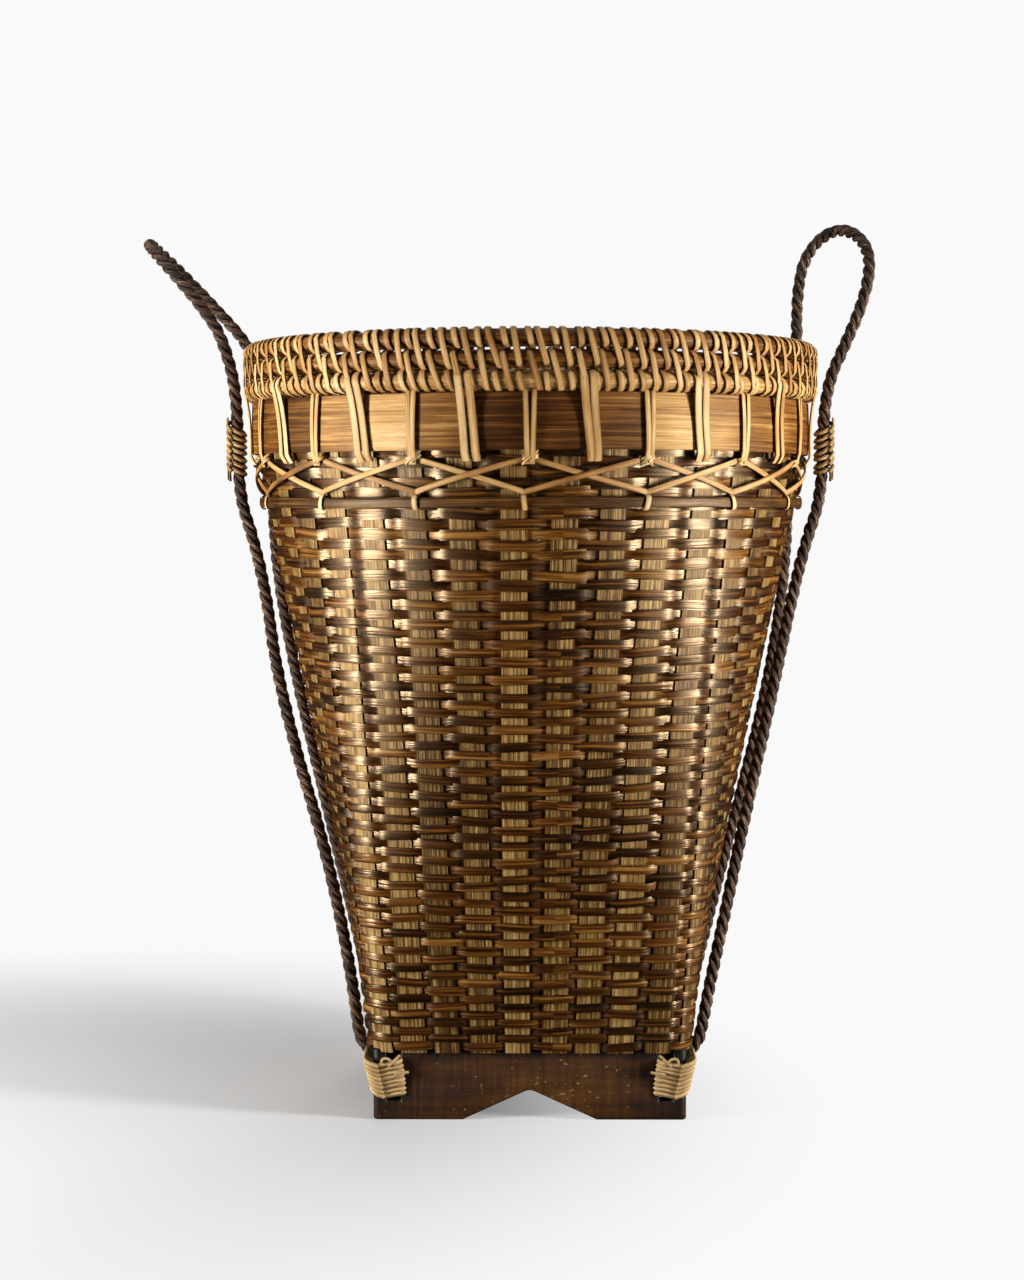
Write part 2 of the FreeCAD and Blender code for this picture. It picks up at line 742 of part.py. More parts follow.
lash = strap_lash()
save("strap_lash_right_front", [turned(lash, strap_front_angle)])
save("strap_lash_right_back", [turned(lash, strap_back_angle)])
save("strap_lash_left_front", [mirrored(turned(lash, strap_front_angle), sideways)])
save("strap_lash_left_back", [mirrored(turned(lash, strap_back_angle), sideways)])

straps = [
    ("right", 1, right_front_route, right_loop_route, right_back_route),
    ("left", -1, left_front_route, left_loop_route, left_back_route),
]
for name, side, front, loop, back in straps:
    front_angle, back_angle = side * strap_front_angle, side * strap_back_angle
    front_run = strap_run(side, -rope_hole_y, front, front_angle, loop[0], name + " front")
    back_run = strap_run(side, rope_hole_y, back, back_angle, loop[-1], name + " back")
    save(name + "_strap_front", [front_run])
    save(name + "_strap_loop", [strap_loop(loop, name + " loop")])
    save(name + "_strap_back", [back_run])
left_knots = [strap_knot(y) for y in (-rope_hole_y, rope_hole_y)]
save("strap_knots", left_knots + [mirrored(knot, sideways) for knot in left_knots])
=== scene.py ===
import math

import bpy
import numpy as np
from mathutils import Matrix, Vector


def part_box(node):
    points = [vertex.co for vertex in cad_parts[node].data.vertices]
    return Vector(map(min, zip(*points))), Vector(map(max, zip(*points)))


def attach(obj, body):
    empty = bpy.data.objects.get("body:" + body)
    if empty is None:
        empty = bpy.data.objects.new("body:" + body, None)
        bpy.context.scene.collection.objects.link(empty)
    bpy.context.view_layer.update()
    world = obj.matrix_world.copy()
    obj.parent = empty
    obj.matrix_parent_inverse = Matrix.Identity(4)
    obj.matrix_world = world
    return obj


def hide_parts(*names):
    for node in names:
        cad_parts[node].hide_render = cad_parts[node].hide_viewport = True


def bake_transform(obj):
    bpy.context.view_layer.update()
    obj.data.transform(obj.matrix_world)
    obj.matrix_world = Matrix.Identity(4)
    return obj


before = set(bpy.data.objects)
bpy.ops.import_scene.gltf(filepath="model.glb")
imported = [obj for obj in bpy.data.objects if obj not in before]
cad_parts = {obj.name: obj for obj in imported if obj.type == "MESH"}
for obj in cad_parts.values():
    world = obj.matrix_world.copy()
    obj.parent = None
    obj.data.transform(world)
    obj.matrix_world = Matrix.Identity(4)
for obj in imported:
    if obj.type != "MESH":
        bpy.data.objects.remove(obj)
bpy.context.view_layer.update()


# Base frame: four boards of dark stained wood on edge, with a peaked notch in each lower edge that leaves
# two feet. They butt at the corners, are bored for the ropes and slotted for the lashings, and their
# arrises are worn round.
class Tone:
    """A value or colour in a material's node tree; arithmetic on it adds the Math nodes."""

    def __init__(self, tree, socket=None):
        self.tree = tree
        self.socket = socket

    def node(self, kind, settings, sockets, output=0):
        made = self.tree.nodes.new("ShaderNode" + kind)
        for name, value in settings.items():
            if name == "stops":
                ramp = made.color_ramp
                while len(ramp.elements) < len(value):
                    ramp.elements.new(1.0)
                for element, (place, colour) in zip(ramp.elements, value):
                    element.position = place
                    element.color = (*colour, 1.0)
            else:
                setattr(made, name, value)
        for key, value in sockets.items():
            self.feed(made.inputs[key], value)
        return Tone(self.tree, made.outputs[output])

    def feed(self, target, value):
        if isinstance(value, Tone):
            self.tree.links.new(value.socket, target)
        else:
            target.default_value = value

    def math(self, operation, first, second):
        return self.node("Math", {"operation": operation}, {0: first, 1: second})

    def __add__(self, other):
        return self.math("ADD", self, other)

    __radd__ = __add__

    def __sub__(self, other):
        return self.math("SUBTRACT", self, other)

    def __rsub__(self, other):
        return self.math("SUBTRACT", other, self)

    def __mul__(self, other):
        return self.math("MULTIPLY", self, other)

    __rmul__ = __mul__

    def __pow__(self, other):
        return self.math("POWER", self, other)

    def part(self, axis):
        return self.node("SeparateXYZ", {}, {"Vector": self}, output=axis)

    def hump(self):
        return self * (1 - self) * 4.0

    def size(self):
        return self.node("Math", {"operation": "ABSOLUTE"}, {0: self})

    def smooth(self, low, high):
        return self.node("MapRange", {"interpolation_type": "SMOOTHSTEP"}, {0: self, 1: low, 2: high})

    def ramp(self, *stops):
        return self.node("ValToRGB", {"stops": stops}, {0: self})

    def mix(self, low, high):
        return self.node("Mix", {"data_type": "RGBA"}, {0: self, 6: low, 7: high}, output=2)

    def noise(self, scale, detail=3.0, roughness=0.5):
        spread = self.node("Mapping", {}, {"Vector": self, "Scale": scale})
        sockets = {"Vector": spread, "Scale": 1.0, "Detail": detail, "Roughness": roughness}
        return self.node("TexNoise", {}, sockets)

    def bump(self, strength, distance):
        return self.node("Bump", {}, {"Height": self, "Strength": strength, "Distance": distance})


def new_finish(name):
    """A material and its node tree to write in."""
    material = bpy.data.materials.new(name)
    material.use_nodes = True
    return material, Tone(material.node_tree)


def dress(material, colour, roughness, relief, gloss=0.5, tint=(1.0, 1.0, 1.0, 1.0)):
    """Feed a material its colour, roughness and relief, and set the strength and tint of its gloss."""
    surface = material.node_tree.nodes["Principled BSDF"].inputs
    colour.feed(surface["Base Color"], colour)
    colour.feed(surface["Roughness"], roughness)
    colour.feed(surface["Normal"], relief)
    surface["Specular IOR Level"].default_value = gloss
    surface["Specular Tint"].default_value = tint
    return material


def board_finish(name, long_axis, grain_scale, cloud_scale):
    """Stained wood with saw marks, darker towards its ends and its top edge, with small worn flecks."""
    material, paint = new_finish(name)
    place = paint.node("TexCoord", {}, {}, output="Object")
    grain = place.noise(grain_scale, detail=5.0, roughness=0.65)
    saw_marks = place.noise((420.0, 420.0, 26.0), detail=3.0, roughness=0.6)
    cloud = place.noise(cloud_scale, detail=3.0)
    fleck = place.noise((330.0, 330.0, 520.0), detail=2.0, roughness=0.6)
    ends = place.part(long_axis).size().smooth(0.045, 0.086)
    top = place.part(2).smooth(0.028, 0.039)
    age = grain * 0.5 + saw_marks * 0.38 + cloud * 0.5 - ends * 0.17 - top * 0.1 - 0.16
    wood = age.ramp(
        (0.22, (0.004, 0.0013, 0.0003)),
        (0.42, (0.02, 0.0065, 0.001)),
        (0.58, (0.056, 0.019, 0.0028)),
        (0.78, (0.12, 0.047, 0.009)),
    )
    worn = (fleck * 0.8 + cloud * 0.2).ramp((0.645, (0.0, 0.0, 0.0)), (0.7, (1.0, 1.0, 1.0)))
    colour = worn.mix(wood, (0.26, 0.15, 0.055, 1.0))
    relief = (grain + saw_marks * 0.6 + fleck * 0.4).bump(0.4, 0.0006)
    return dress(material, colour, 0.66 - grain * 0.25, relief, gloss=0.3)


def merge(threshold, *steps):
    """Merge the doubles of the piece in hand, then take the other steps on its whole mesh."""
    bpy.ops.object.mode_set(mode="EDIT")
    bpy.ops.mesh.select_all(action="SELECT")
    bpy.ops.mesh.remove_doubles(threshold=threshold)
    for step in steps:
        step()
    bpy.ops.object.mode_set(mode="OBJECT")


def clear_flat_edges():
    """Dissolve the edges that cross a flat face."""
    bpy.ops.mesh.dissolve_limited(angle_limit=math.radians(1))


board_finishes = {
    "front": board_finish("board_wood_across", 0, (9.0, 190.0, 210.0), (16.0, 40.0, 40.0)),
    "left": board_finish("board_wood_deep", 1, (190.0, 9.0, 210.0), (40.0, 16.0, 40.0)),
}
board_finishes["back"] = board_finishes["front"]
board_finishes["right"] = board_finishes["left"]
arris = 0.0011
for side, wood in board_finishes.items():
    node = "base_board_" + side
    board = bpy.data.objects.new("board_" + side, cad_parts[node].data.copy())
    bpy.context.collection.objects.link(board)
    bpy.ops.object.select_all(action="DESELECT")
    board.select_set(True)
    bpy.context.view_layer.objects.active = board
    merge(0.00001, clear_flat_edges)
    rounding = board.modifiers.new("rounding", "BEVEL")
    rounding.width = arris
    rounding.segments = 3
    rounding.limit_method = "ANGLE"
    rounding.angle_limit = math.radians(40)
    rounding.use_clamp_overlap = True
    bpy.ops.object.modifier_apply(modifier=rounding.name)
    bpy.ops.object.shade_smooth_by_angle(angle=math.radians(35))
    board.data.materials.clear()
    board.data.materials.append(wood)
    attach(board, "root")
    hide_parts(node)


# Corner lashings: flat pale cane wound round each corner of the base frame, through a slot in each board.
# Each turn starts over the end of the last one, in a plait beside the corner, and rises to both sides. A
# few inner turns fill the top.
def unit(vectors):
    return vectors / np.linalg.norm(vectors, axis=-1, keepdims=True)


def travelled(points):
    """How far along a line each of its points lies."""
    return np.concatenate([[0], np.cumsum(np.linalg.norm(np.diff(points, axis=0), axis=1))])


def join_as(name, pieces):
    """Join pieces into one and give it its name."""
    bpy.ops.object.select_all(action="DESELECT")
    for piece in pieces:
        piece.select_set(True)
    bpy.context.view_layer.objects.active = pieces[0]
    if len(pieces) > 1:
        bpy.ops.object.join()
    whole = bpy.context.view_layer.objects.active
    whole.name = name
    whole.data.name = name
    return whole


def mark_grain(mesh, length, start, shade):
    """Lay the grain along a strip: U in metres from its start, V across it, and its own shade."""
    grain_map = mesh.uv_layers["UVMap"].data
    spread = np.empty(len(grain_map) * 2)
    grain_map.foreach_get("uv", spread)
    spread = spread.reshape(-1, 2)
    spread[:, 0] = spread[:, 0] * length + start
    grain_map.foreach_set("uv", spread.ravel())
    mesh.attributes.new("shade", "FLOAT", "POINT")
    shades = np.broadcast_to(np.asarray(shade, np.float32), len(mesh.vertices))
    mesh.attributes["shade"].data.foreach_set("value", np.ascontiguousarray(shades))


def flat_blank(columns, rows, solid=False):
    """A flat grid to bend a piece from, one unit thick if it is solid, and its points, from -1 to 1."""
    bpy.ops.object.select_all(action="DESELECT")
    bpy.ops.mesh.primitive_grid_add(x_subdivisions=columns, y_subdivisions=rows, size=2)
    blank = bpy.context.object
    if solid:
        shell = blank.modifiers.new("thickness", "SOLIDIFY")
        shell.thickness = 1
        shell.offset = 1
        bpy.ops.object.modifier_apply(modifier=shell.name)
    flat = np.empty(len(blank.data.vertices) * 3)
    blank.data.vertices.foreach_get("co", flat)
    return blank, flat.reshape(-1, 3)


def step_of(places, count):
    """The number of the step, out of count from -1 to 1, that each place lies at."""
    return np.rint((places + 1) / 2 * count).astype(int)


def bent_copy(name, blank, points):
    """A copy of a flat blank, bent to its points."""
    strip = bpy.data.objects.new(name, blank.data.copy())
    bpy.context.collection.objects.link(strip)
    strip.data.vertices.foreach_set("co", points.ravel())
    return strip


def bent_strips(name, runs, width, thickness, finish, crown=0.35):
    """Strips of cane bent from one flat blank, each along its own points with its outward directions."""
    segments = len(runs[0][0]) - 1
    blank, flat = flat_blank(segments, 2, solid=True)
    station = step_of(flat[:, 0], segments)
    across = flat[:, 1:2]
    lift = thickness * flat[:, 2:3] * (1 + crown * (1 - across ** 2))
    strips = []
    for points, outward, shade in runs:
        along = unit(np.gradient(points, axis=0))
        sideways = unit(np.cross(outward, along))
        outwards = np.cross(along, sideways)
        bent = points[station] + sideways[station] * across * width / 2 + outwards[station] * lift
        strip = bent_copy(name, blank, bent)
        mark_grain(strip.data, travelled(points)[-1], chance.uniform(0, 9), shade)
        strips.append(strip)
    bpy.data.objects.remove(blank)
    piece = join_as(name, strips)
    bpy.ops.object.shade_smooth_by_angle(angle=math.radians(50))
    piece.data.materials.append(finish)
    return piece


def grained_finish(name):
    """A material that follows a strip's grain, with the strip's grain map and its own shade."""
    material, paint = new_finish(name)
    grain = paint.node("UVMap", {"uv_map": "UVMap"}, {})
    shade = paint.node("Attribute", {"attribute_name": "shade"}, {}, output="Fac")
    return material, grain, shade


def cane_finish(name, colours, roughness, gloss):
    """Split cane with fine fibres along it, glossy on its skin, and darker in its edges with painted shade.
    """
    material, grain, shade = grained_finish(name)
    fibre = grain.noise((35.0, 3.0, 1.0), detail=4.0, roughness=0.7)
    blotch = grain.noise((70.0, 1.2, 1.0), detail=2.0)
    # painted shade: the strip is mixed towards a dark edge colour across its edges, in place of the shade
    # over its rounded face
    middle = grain.part(1).hump() ** 0.55
    body = (shade + fibre * 0.8 + blotch * 0.5 - 0.65).ramp(*colours)
    edge = (*(0.28 * part for part in colours[0][1]), 1.0)
    colour = (middle * 0.85 + 0.15).mix(edge, body)
    roughness = roughness + fibre * 0.25 - 0.12
    return dress(material, colour, roughness, fibre.bump(0.5, 0.0005), gloss, (1.0, 0.8, 0.54, 1.0))


chance = np.random.default_rng(11)
pale_cane = cane_finish(
    "pale_lashing_cane",
    (
        (0.05, (0.10, 0.05, 0.015)),
        (0.35, (0.32, 0.185, 0.071)),
        (0.65, (0.54, 0.355, 0.16)),
        (0.95, (0.78, 0.59, 0.34)),
    ),
    roughness=0.5,
    gloss=0.35,
)
lash_low, lash_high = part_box("corner_lash_front_right")
lash_turns = 8
lash_cane_width = 0.0027
lash_cane_thickness = 0.001
lash_cane_crown = 0.9
lash_bend = 0.004
lash_lean = 0.2
lash_foot = lash_low.z + 0.0026
lash_rise = 0.00245
lash_unevenness = 0.0002
lash_fillings = (0.0011, 0.0022, 0.0033)
lash_filling_drop = 0.3
lash_middle = (lash_low.z + lash_high.z) / 2
lash_margin = 0.0013
inner_x, outer_x = lash_low.x + lash_margin, lash_high.x - lash_margin
outer_y, inner_y = lash_low.y + lash_margin, lash_high.y - lash_margin
plait_x = outer_x - 0.0052
plait_lap = 0.0011
plait_reach = 0.006
to_front = math.radians(-90)
quarter = np.radians(np.linspace(0, 90, 6))
lash_plan = [(plait_x - 0.0008, outer_y, to_front)]
for bend_x, bend_y, start in (
    (outer_x - lash_bend, outer_y + lash_bend, -90),
    (outer_x - lash_bend, inner_y - lash_bend, 0),
    (inner_x + lash_bend, inner_y - lash_bend, 90),
    (inner_x + lash_bend, outer_y + lash_bend, 180),
):
    for facing in quarter + math.radians(start):
        bend = (lash_bend * math.cos(facing), lash_bend * math.sin(facing))
        lash_plan.append((bend_x + bend[0], bend_y + bend[1], facing))
lash_plan += [(inner_x + 0.006, outer_y, to_front), (plait_x + 0.001, outer_y, to_front)]
lash_plan = np.asarray(lash_plan)
lash_travel = travelled(lash_plan[:, :2])
lash_heights = np.interp(
    lash_travel, lash_travel[[0, 6, 7, 19, 24, 26]], (0.0, 0.0031, 0.0037, 0.0024, 0.0018, 0.0)
)
lash_overlap = plait_lap * np.clip(1 - lash_travel / plait_reach, 0, 1)
lash_facing = np.column_stack([np.cos(lash_plan[:, 2]), np.sin(lash_plan[:, 2]), np.zeros(len(lash_plan))])


def leaning(points):
    """Points of a lashing, drawn outwards the higher they are."""
    lean = lash_lean * (points[:, 2] - lash_middle)
    return points + np.column_stack([lean, -lean, np.zeros(len(lean))])


def lash_tail(points):
    """A loose end of the cane, flat on the front of a lashing."""
    points = np.asarray([(x, outer_y - 0.0012, z) for x, z in points])
    return leaning(points), np.tile((0.0, -1.0, 0.0), (len(points), 1))


lash_top = lash_foot + lash_rise * (lash_turns - 1) + 0.0024
tail_width = 0.0015
tail_thickness = 0.0007
tail_steps = np.linspace(0, 1, 9)
arch = [(inner_x + 0.0068 - 0.0027 * math.cos(math.pi * step), lash_top + 0.0024 * math.sin(math.pi * step))
        for step in tail_steps]
spur = [(inner_x + 0.004 - 0.008 * step, lash_top - 0.0065 + 0.0012 * step) for step in tail_steps]
sprig = [(inner_x + 0.0062 - 0.0075 * step, lash_top - 0.002 + 0.0062 * step) for step in tail_steps]
lash_tails = [lash_tail(points) for points in (arch, spur, sprig)]
for corner, (mirror_x, mirror_y) in {
    "front_right": (1, 1),
    "front_left": (-1, 1),
    "back_right": (1, -1),
    "back_left": (-1, -1),
}.items():
    mirror = (mirror_x, mirror_y, 1)
    turns = []
    for turn in range(lash_turns):
        heights = lash_foot + lash_rise * turn + lash_heights + chance.normal(0, lash_unevenness)
        line = np.column_stack([lash_plan[:, :2], heights]) + lash_facing * lash_overlap[:, None]
        turns.append((leaning(line) * mirror, lash_facing * mirror, chance.normal(0.55, 0.06)))
    for inset in lash_fillings:
        heights = lash_foot + lash_rise * (lash_turns - 1) + lash_heights - inset * lash_filling_drop
        line = np.column_stack([lash_plan[:, :2], heights]) - lash_facing * inset
        turns.append((leaning(line) * mirror, lash_facing * mirror, chance.normal(0.45, 0.06)))
    tails = [(line * mirror, outward * mirror, 0.6) for line, outward in lash_tails]
    lash = join_as("lashing_" + corner, [
        bent_strips("turns", turns, lash_cane_width, lash_cane_thickness, pale_cane, lash_cane_crown),
        bent_strips("tails", tails, tail_width, tail_thickness, pale_cane),
    ])
    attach(lash, "root")
    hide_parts("corner_lash_" + corner)


# Floor: two layers of flat pale splints, eight one way and eight the other, laid on the base frame.
# Their ends are caught under the lowest rows of the wall.
def splint_finish(name, colours):
    """Raw split wood with strong straight fibres along it."""
    material, grain, shade = grained_finish(name)
    fibre = grain.noise((9.0, 9.0, 1.0), detail=4.0, roughness=0.7)
    hair = grain.noise((30.0, 27.0, 1.0), detail=2.0)
    blotch = grain.noise((75.0, 1.8, 1.0), detail=3.0)
    body = (shade + fibre * 1.9 + hair * 0.9 + blotch * 0.6 - 1.7).ramp(*colours)
    relief = (fibre + hair * 0.6).bump(0.6, 0.0005)
    return dress(material, body, 0.55 - fibre * 0.3, relief, tint=(1.0, 0.7, 0.38, 1.0))


chance = np.random.default_rng(23)
splint_wood = splint_finish(
    "pale_splint_wood",
    (
        (0.1, (0.010, 0.0035, 0.0008)),
        (0.36, (0.074, 0.033, 0.007)),
        (0.58, (0.22, 0.122, 0.034)),
        (0.85, (0.44, 0.28, 0.1)),
    ),
)
splint_count = 8
splint_width = 0.0134
splint_thickness = 0.0012
splint_sag = 0.0001
splint_steps = np.linspace(0, 1, 25)
upwards = np.tile((0.0, 0.0, 1.0), (len(splint_steps), 1))
for direction in ("lengthwise", "crosswise"):
    runs = []
    nodes = [f"floor_splint_{direction}_{number}" for number in range(1, splint_count + 1)]
    for node in nodes:
        low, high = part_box(node)
        sag = splint_sag * np.sin(splint_steps * 29 + chance.uniform(0, 6))
        if direction == "lengthwise":
            line = [((low.x + high.x) / 2, low.y + (high.y - low.y) * step, low.z) for step in splint_steps]
        else:
            line = [(low.x + (high.x - low.x) * step, (low.y + high.y) / 2, low.z) for step in splint_steps]
        runs.append((np.asarray(line) + upwards * sag[:, None], upwards, chance.uniform(0.3, 0.6)))
    splints = bent_strips(
        "floor_splints_" + direction, runs, splint_width, splint_thickness, splint_wood, crown=0.0
    )
    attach(splints, "root")
    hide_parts(*nodes)


# Stakes: the upright pale splints that the weavers go round, eight on each side of the square foot and
# one in each corner. They fan out to the round rim, where the two bands hold their tops.
board_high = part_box("base_board_front")[1]
hoop_low, hoop_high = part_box("lower_hoop")
band_low, band_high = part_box("rim_band_outer")
wall_foot = board_high.z
wall_foot_half = board_high.x + 0.004
wall_corner = 0.018
face_reach = 38.0
shoulder = 0.330
shoulder_radius = 0.1485
band_radius = 0.1525
wall_top = band_high.z
wall_top_radius = 0.153


def wall_points(angle, z, out):
    """Points out metres off the wall's outer face, at angles from the front, and the way it faces."""
    angle, z, out = np.broadcast_arrays(*(np.asarray(value, float) for value in (angle, z, out)))
    side = np.round(angle / 90)
    local = angle - side * 90
    flat = wall_foot_half - wall_corner
    past = np.clip((np.abs(local) - face_reach) / (45 - face_reach), 0, 1)
    turn = np.radians(past * 45)
    foot_x = np.where(past > 0, flat + wall_corner * np.sin(turn), flat * np.abs(local) / face_reach)
    foot_x = foot_x * np.sign(local)
    foot_y = -(flat + wall_corner * np.cos(turn))
    radius = np.interp(
        z, (shoulder, band_low.z, wall_top), (shoulder_radius, band_radius, wall_top_radius)
    )
    share = np.clip((z - wall_foot) / (shoulder - wall_foot), 0, 1)
    x = foot_x * (1 - share) + radius * np.sin(np.radians(local)) * share
    y = foot_y * (1 - share) - radius * np.cos(np.radians(local)) * share
    facing = np.sign(local) * turn * (1 - share) + np.radians(local) * share
    x = x + out * np.sin(facing)
    y = y - out * np.cos(facing)
    whole = np.radians(side * 90)
    points = np.stack([x * np.cos(whole) - y * np.sin(whole), x * np.sin(whole) + y * np.cos(whole), z], -1)
    faces = np.stack([np.sin(facing + whole), -np.cos(facing + whole), np.zeros_like(z)], -1)
    return points, faces


chance = np.random.default_rng(37)
stake_count = 36
stake_step = 360 / stake_count
stake_first = 5.0 + 1.6
stake_depth = 0.00235
stake_crown = 0.12
stake_bow = 0.25
stake_sunk, stake_short = 0.0015, 0.0005
stake_angles = stake_first + stake_step * np.arange(stake_count) + chance.normal(0, 0.35, stake_count)
stake_blank, flat = flat_blank(44, 4, solid=True)
stake_z = np.interp(flat[:, 0], (-1, 1), (wall_foot - stake_sunk, wall_top - stake_short))
stake_out = splint_thickness * flat[:, 2] * (1 + stake_crown * (1 - flat[:, 1] ** 2)) - stake_depth
stake_strips = []
for angle in stake_angles:
    middle = angle + stake_bow * np.sin(stake_z * chance.uniform(12, 25) + chance.uniform(0, 6))
    degree = wall_points(middle + 0.5, stake_z, 0.0)[0] - wall_points(middle - 0.5, stake_z, 0.0)[0]
    aside = flat[:, 1] * splint_width / 2 / np.linalg.norm(degree, axis=1)
    strip = bent_copy("stake", stake_blank, wall_points(middle + aside, stake_z, stake_out)[0])
    mark_grain(strip.data, wall_top - wall_foot, chance.uniform(0, 9), chance.uniform(0.36, 0.62))
    stake_strips.append(strip)
bpy.data.objects.remove(stake_blank)
stakes = join_as("stakes", stake_strips)
bpy.ops.object.shade_smooth_by_angle(angle=math.radians(50))
stakes.data.materials.append(splint_wood)
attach(stakes, "root")
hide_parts("stakes_front", "stakes_back", "stakes_left", "stakes_right", "corner_stakes")


# Wall: rows of dark lacquered rattan splits, woven over one stake and under the next and beaten down on
# each other. Each float is pressed a little out of line, and the splits spread where they run inside.
def weaver_finish(name, colours):
    """Lacquered rattan with long streaks, and painted shade that makes it nearly black in its edges, where
    the rows meet.
    """
    material, grain, shade = grained_finish(name)
    fibre = grain.noise((12.0, 2.6, 1.0), detail=3.0, roughness=0.7)
    streak = grain.noise((40.0, 1.2, 1.0), detail=3.0)
    # painted shade: the split is mixed towards near black across its upper and lower edges, in place of the
    # shade in the gaps between rows
    middle = grain.part(1).hump() ** 0.35
    body = (shade + fibre * 2.4 + streak * 0.7 - 1.55).ramp(*colours)
    colour = (middle * 0.85 + 0.15).mix((0.004, 0.0013, 0.0003, 1.0), body)
    relief = (fibre + streak * 0.4).bump(0.7, 0.0009)
    return dress(material, colour, 0.18 + fibre * 0.26, relief, gloss=0.9, tint=(1.0, 0.68, 0.36, 1.0))


def row_pitch(z):
    """The height of one row, which grows towards the shoulder."""
    return np.interp(z, (0.235, 0.285), (0.00443, 0.0052))


chance = np.random.default_rng(53)
weaver_lacquer = weaver_finish(
    "dark_weaver_lacquer",
    (
        (0.06, (0.005, 0.0015, 0.0002)),
        (0.3, (0.022, 0.006, 0.0008)),
        (0.5, (0.06, 0.0162, 0.0015)),
        (0.7, (0.138, 0.048, 0.0058)),
        (0.95, (0.27, 0.122, 0.025)),
    ),
)
weaver_thickness = 0.0011
weaver_swing = 0.00125
weaver_crown = 0.00024
weaver_lap = 1.05
weaver_spread = 1.75
weaver_bends = np.asarray((0.0, 0.19, 0.31, 0.4, 0.5, 0.6, 0.69, 0.81))
bend_places = (0, 0.19, 0.31, 0.4, 0.6, 0.69, 0.81, 1)
bend_depths = (1, 0.97, 0.86, 0.62, -0.62, -0.86, -0.97, -1)
row_wave = 0.0003
float_height = 0.0003
float_lift = 0.00025
float_slope = 0.0016
float_lean = 0.00022
float_count = stake_count // 2
weaver_columns = stake_count * len(weaver_bends)
row_heights = []
row_margins = (0.0024, 0.002)
row_z = wall_foot + row_margins[0]
while row_z < wall_top - row_margins[1]:
    row_heights.append(row_z)
    row_z += row_pitch(row_z)
rows = []
for number, row_z in enumerate(row_heights):
    row, flat = flat_blank(weaver_columns, 4)
    column = step_of(flat[:, 0], weaver_columns)
    place = column // len(weaver_bends) + weaver_bends[column % len(weaver_bends)]
    across = flat[:, 1]
    from_over = np.abs((place + number + 1) % 2 - 1)
    over = np.interp(from_over, bend_places, bend_depths)
    cover = np.interp(from_over, (0.0, 0.45, 0.7), (1, 0.9, 0))
    float_place = (place + number + 1) / 2
    crossing = np.floor(float_place).astype(int) % float_count
    along_float = float_place - np.floor(float_place) - 0.5
    lift, lean, tall, tint, slope = np.clip(chance.normal(0, 1, (5, float_count)), -2, 2)
    wave = row_wave * np.sin(2 * np.pi * (place / stake_count * chance.integers(1, 4) + chance.uniform()))
    inside = weaver_spread if 0 < number and row_z < band_low.z else weaver_lap
    spreads = (weaver_lap, inside * 0.8, inside, inside * 0.92, weaver_lap)
    spread = np.interp(from_over, (0.5, 0.6, 0.69, 0.81, 1), spreads)
    height = row_pitch(row_z) * spread + float_height * cover * tall[crossing]
    z = row_z + wave + cover * (float_lift * lift[crossing] + float_slope * slope[crossing] * along_float)
    z = z + height / 2 * across
    out = -weaver_thickness / 2 - weaver_swing * (1 - over)
    out = out + weaver_crown * (1 - across ** 2) + float_lean * cover * lean[crossing] * across
    around = wall_points(stake_first + stake_step * place, z, out)[0]
    row.data.vertices.foreach_set("co", around.ravel())
    row_tint = chance.normal(0.44, 0.075)
    girth = 2 * math.pi * np.interp(row_z, (wall_foot, shoulder), (0.1, shoulder_radius))
    mark_grain(row.data, girth, chance.uniform(0, 9), row_tint + 0.1 * tint[crossing])
    rows.append(row)
rows_in_piece = 24
for number, start in enumerate(range(0, len(rows), rows_in_piece)):
    wall = join_as(f"woven_rows_{number + 1}", rows[start:start + rows_in_piece])
    merge(0.00001)
    shell = wall.modifiers.new("thickness", "SOLIDIFY")
    shell.thickness = weaver_thickness
    shell.offset = 0
    bpy.ops.object.modifier_apply(modifier=shell.name)
    bpy.ops.object.shade_smooth_by_angle(angle=math.radians(50))
    wall.data.materials.append(weaver_lacquer)
    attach(wall, "root")
    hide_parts("woven_wall")


# Shoulder hoop: one thick split of dark rattan bent round the wall, over every stake. The lacing
# turns back round it.
def around_axis(radius, swing, z):
    """Points at radii and heights, at angles in radians from the front."""
    return np.column_stack([radius * np.sin(swing), -radius * np.cos(swing), z])


def close_up():
    """Close the open ends of the mesh in hand and turn its faces outwards."""
    bpy.ops.mesh.fill_holes(sides=0)
    bpy.ops.mesh.normals_make_consistent(inside=False)


def closed_ring(name, profile, columns, z, shade, finish):
    """A split bent into a ring, from a flat grid whose rows are the points of its section."""
    section = len(profile)
    ring, flat = flat_blank(columns, section)
    turn = np.pi * (flat[:, 0] + 1)
    point = step_of(flat[:, 1], section) % section
    radius = profile[point, 0] + ring_bow * np.sin(turn * 5 + 1.0) + ring_ripple * np.sin(turn * 17)
    height = z + profile[point, 1] + ring_warp * np.sin(turn * 3 + 0.4)
    ring.data.vertices.foreach_set("co", around_axis(radius, turn, height).ravel())
    shades = shade(np.degrees(turn)) if callable(shade) else shade
    mark_grain(ring.data, 2 * math.pi * profile[:, 0].mean(), 0.0, shades)
    merge(0.000001, close_up)
    bpy.ops.object.shade_smooth_by_angle(angle=math.radians(40))
    ring.data.materials.append(finish)
    return join_as(name, [ring])


def split_section(inner, outer, height, belly):
    """A flat split's section: rounded edges and a face that bellies outwards."""
    half = height / 2
    edge = 0.0005
    upper = [
        (inner, half - edge), (inner + edge, half), (outer - belly - edge, half),
        (outer - belly, half - edge), (outer - belly * 0.3, half * 0.5),
    ]
    return np.asarray([*upper, (outer, 0.0), *((radius, -z) for radius, z in reversed(upper))])


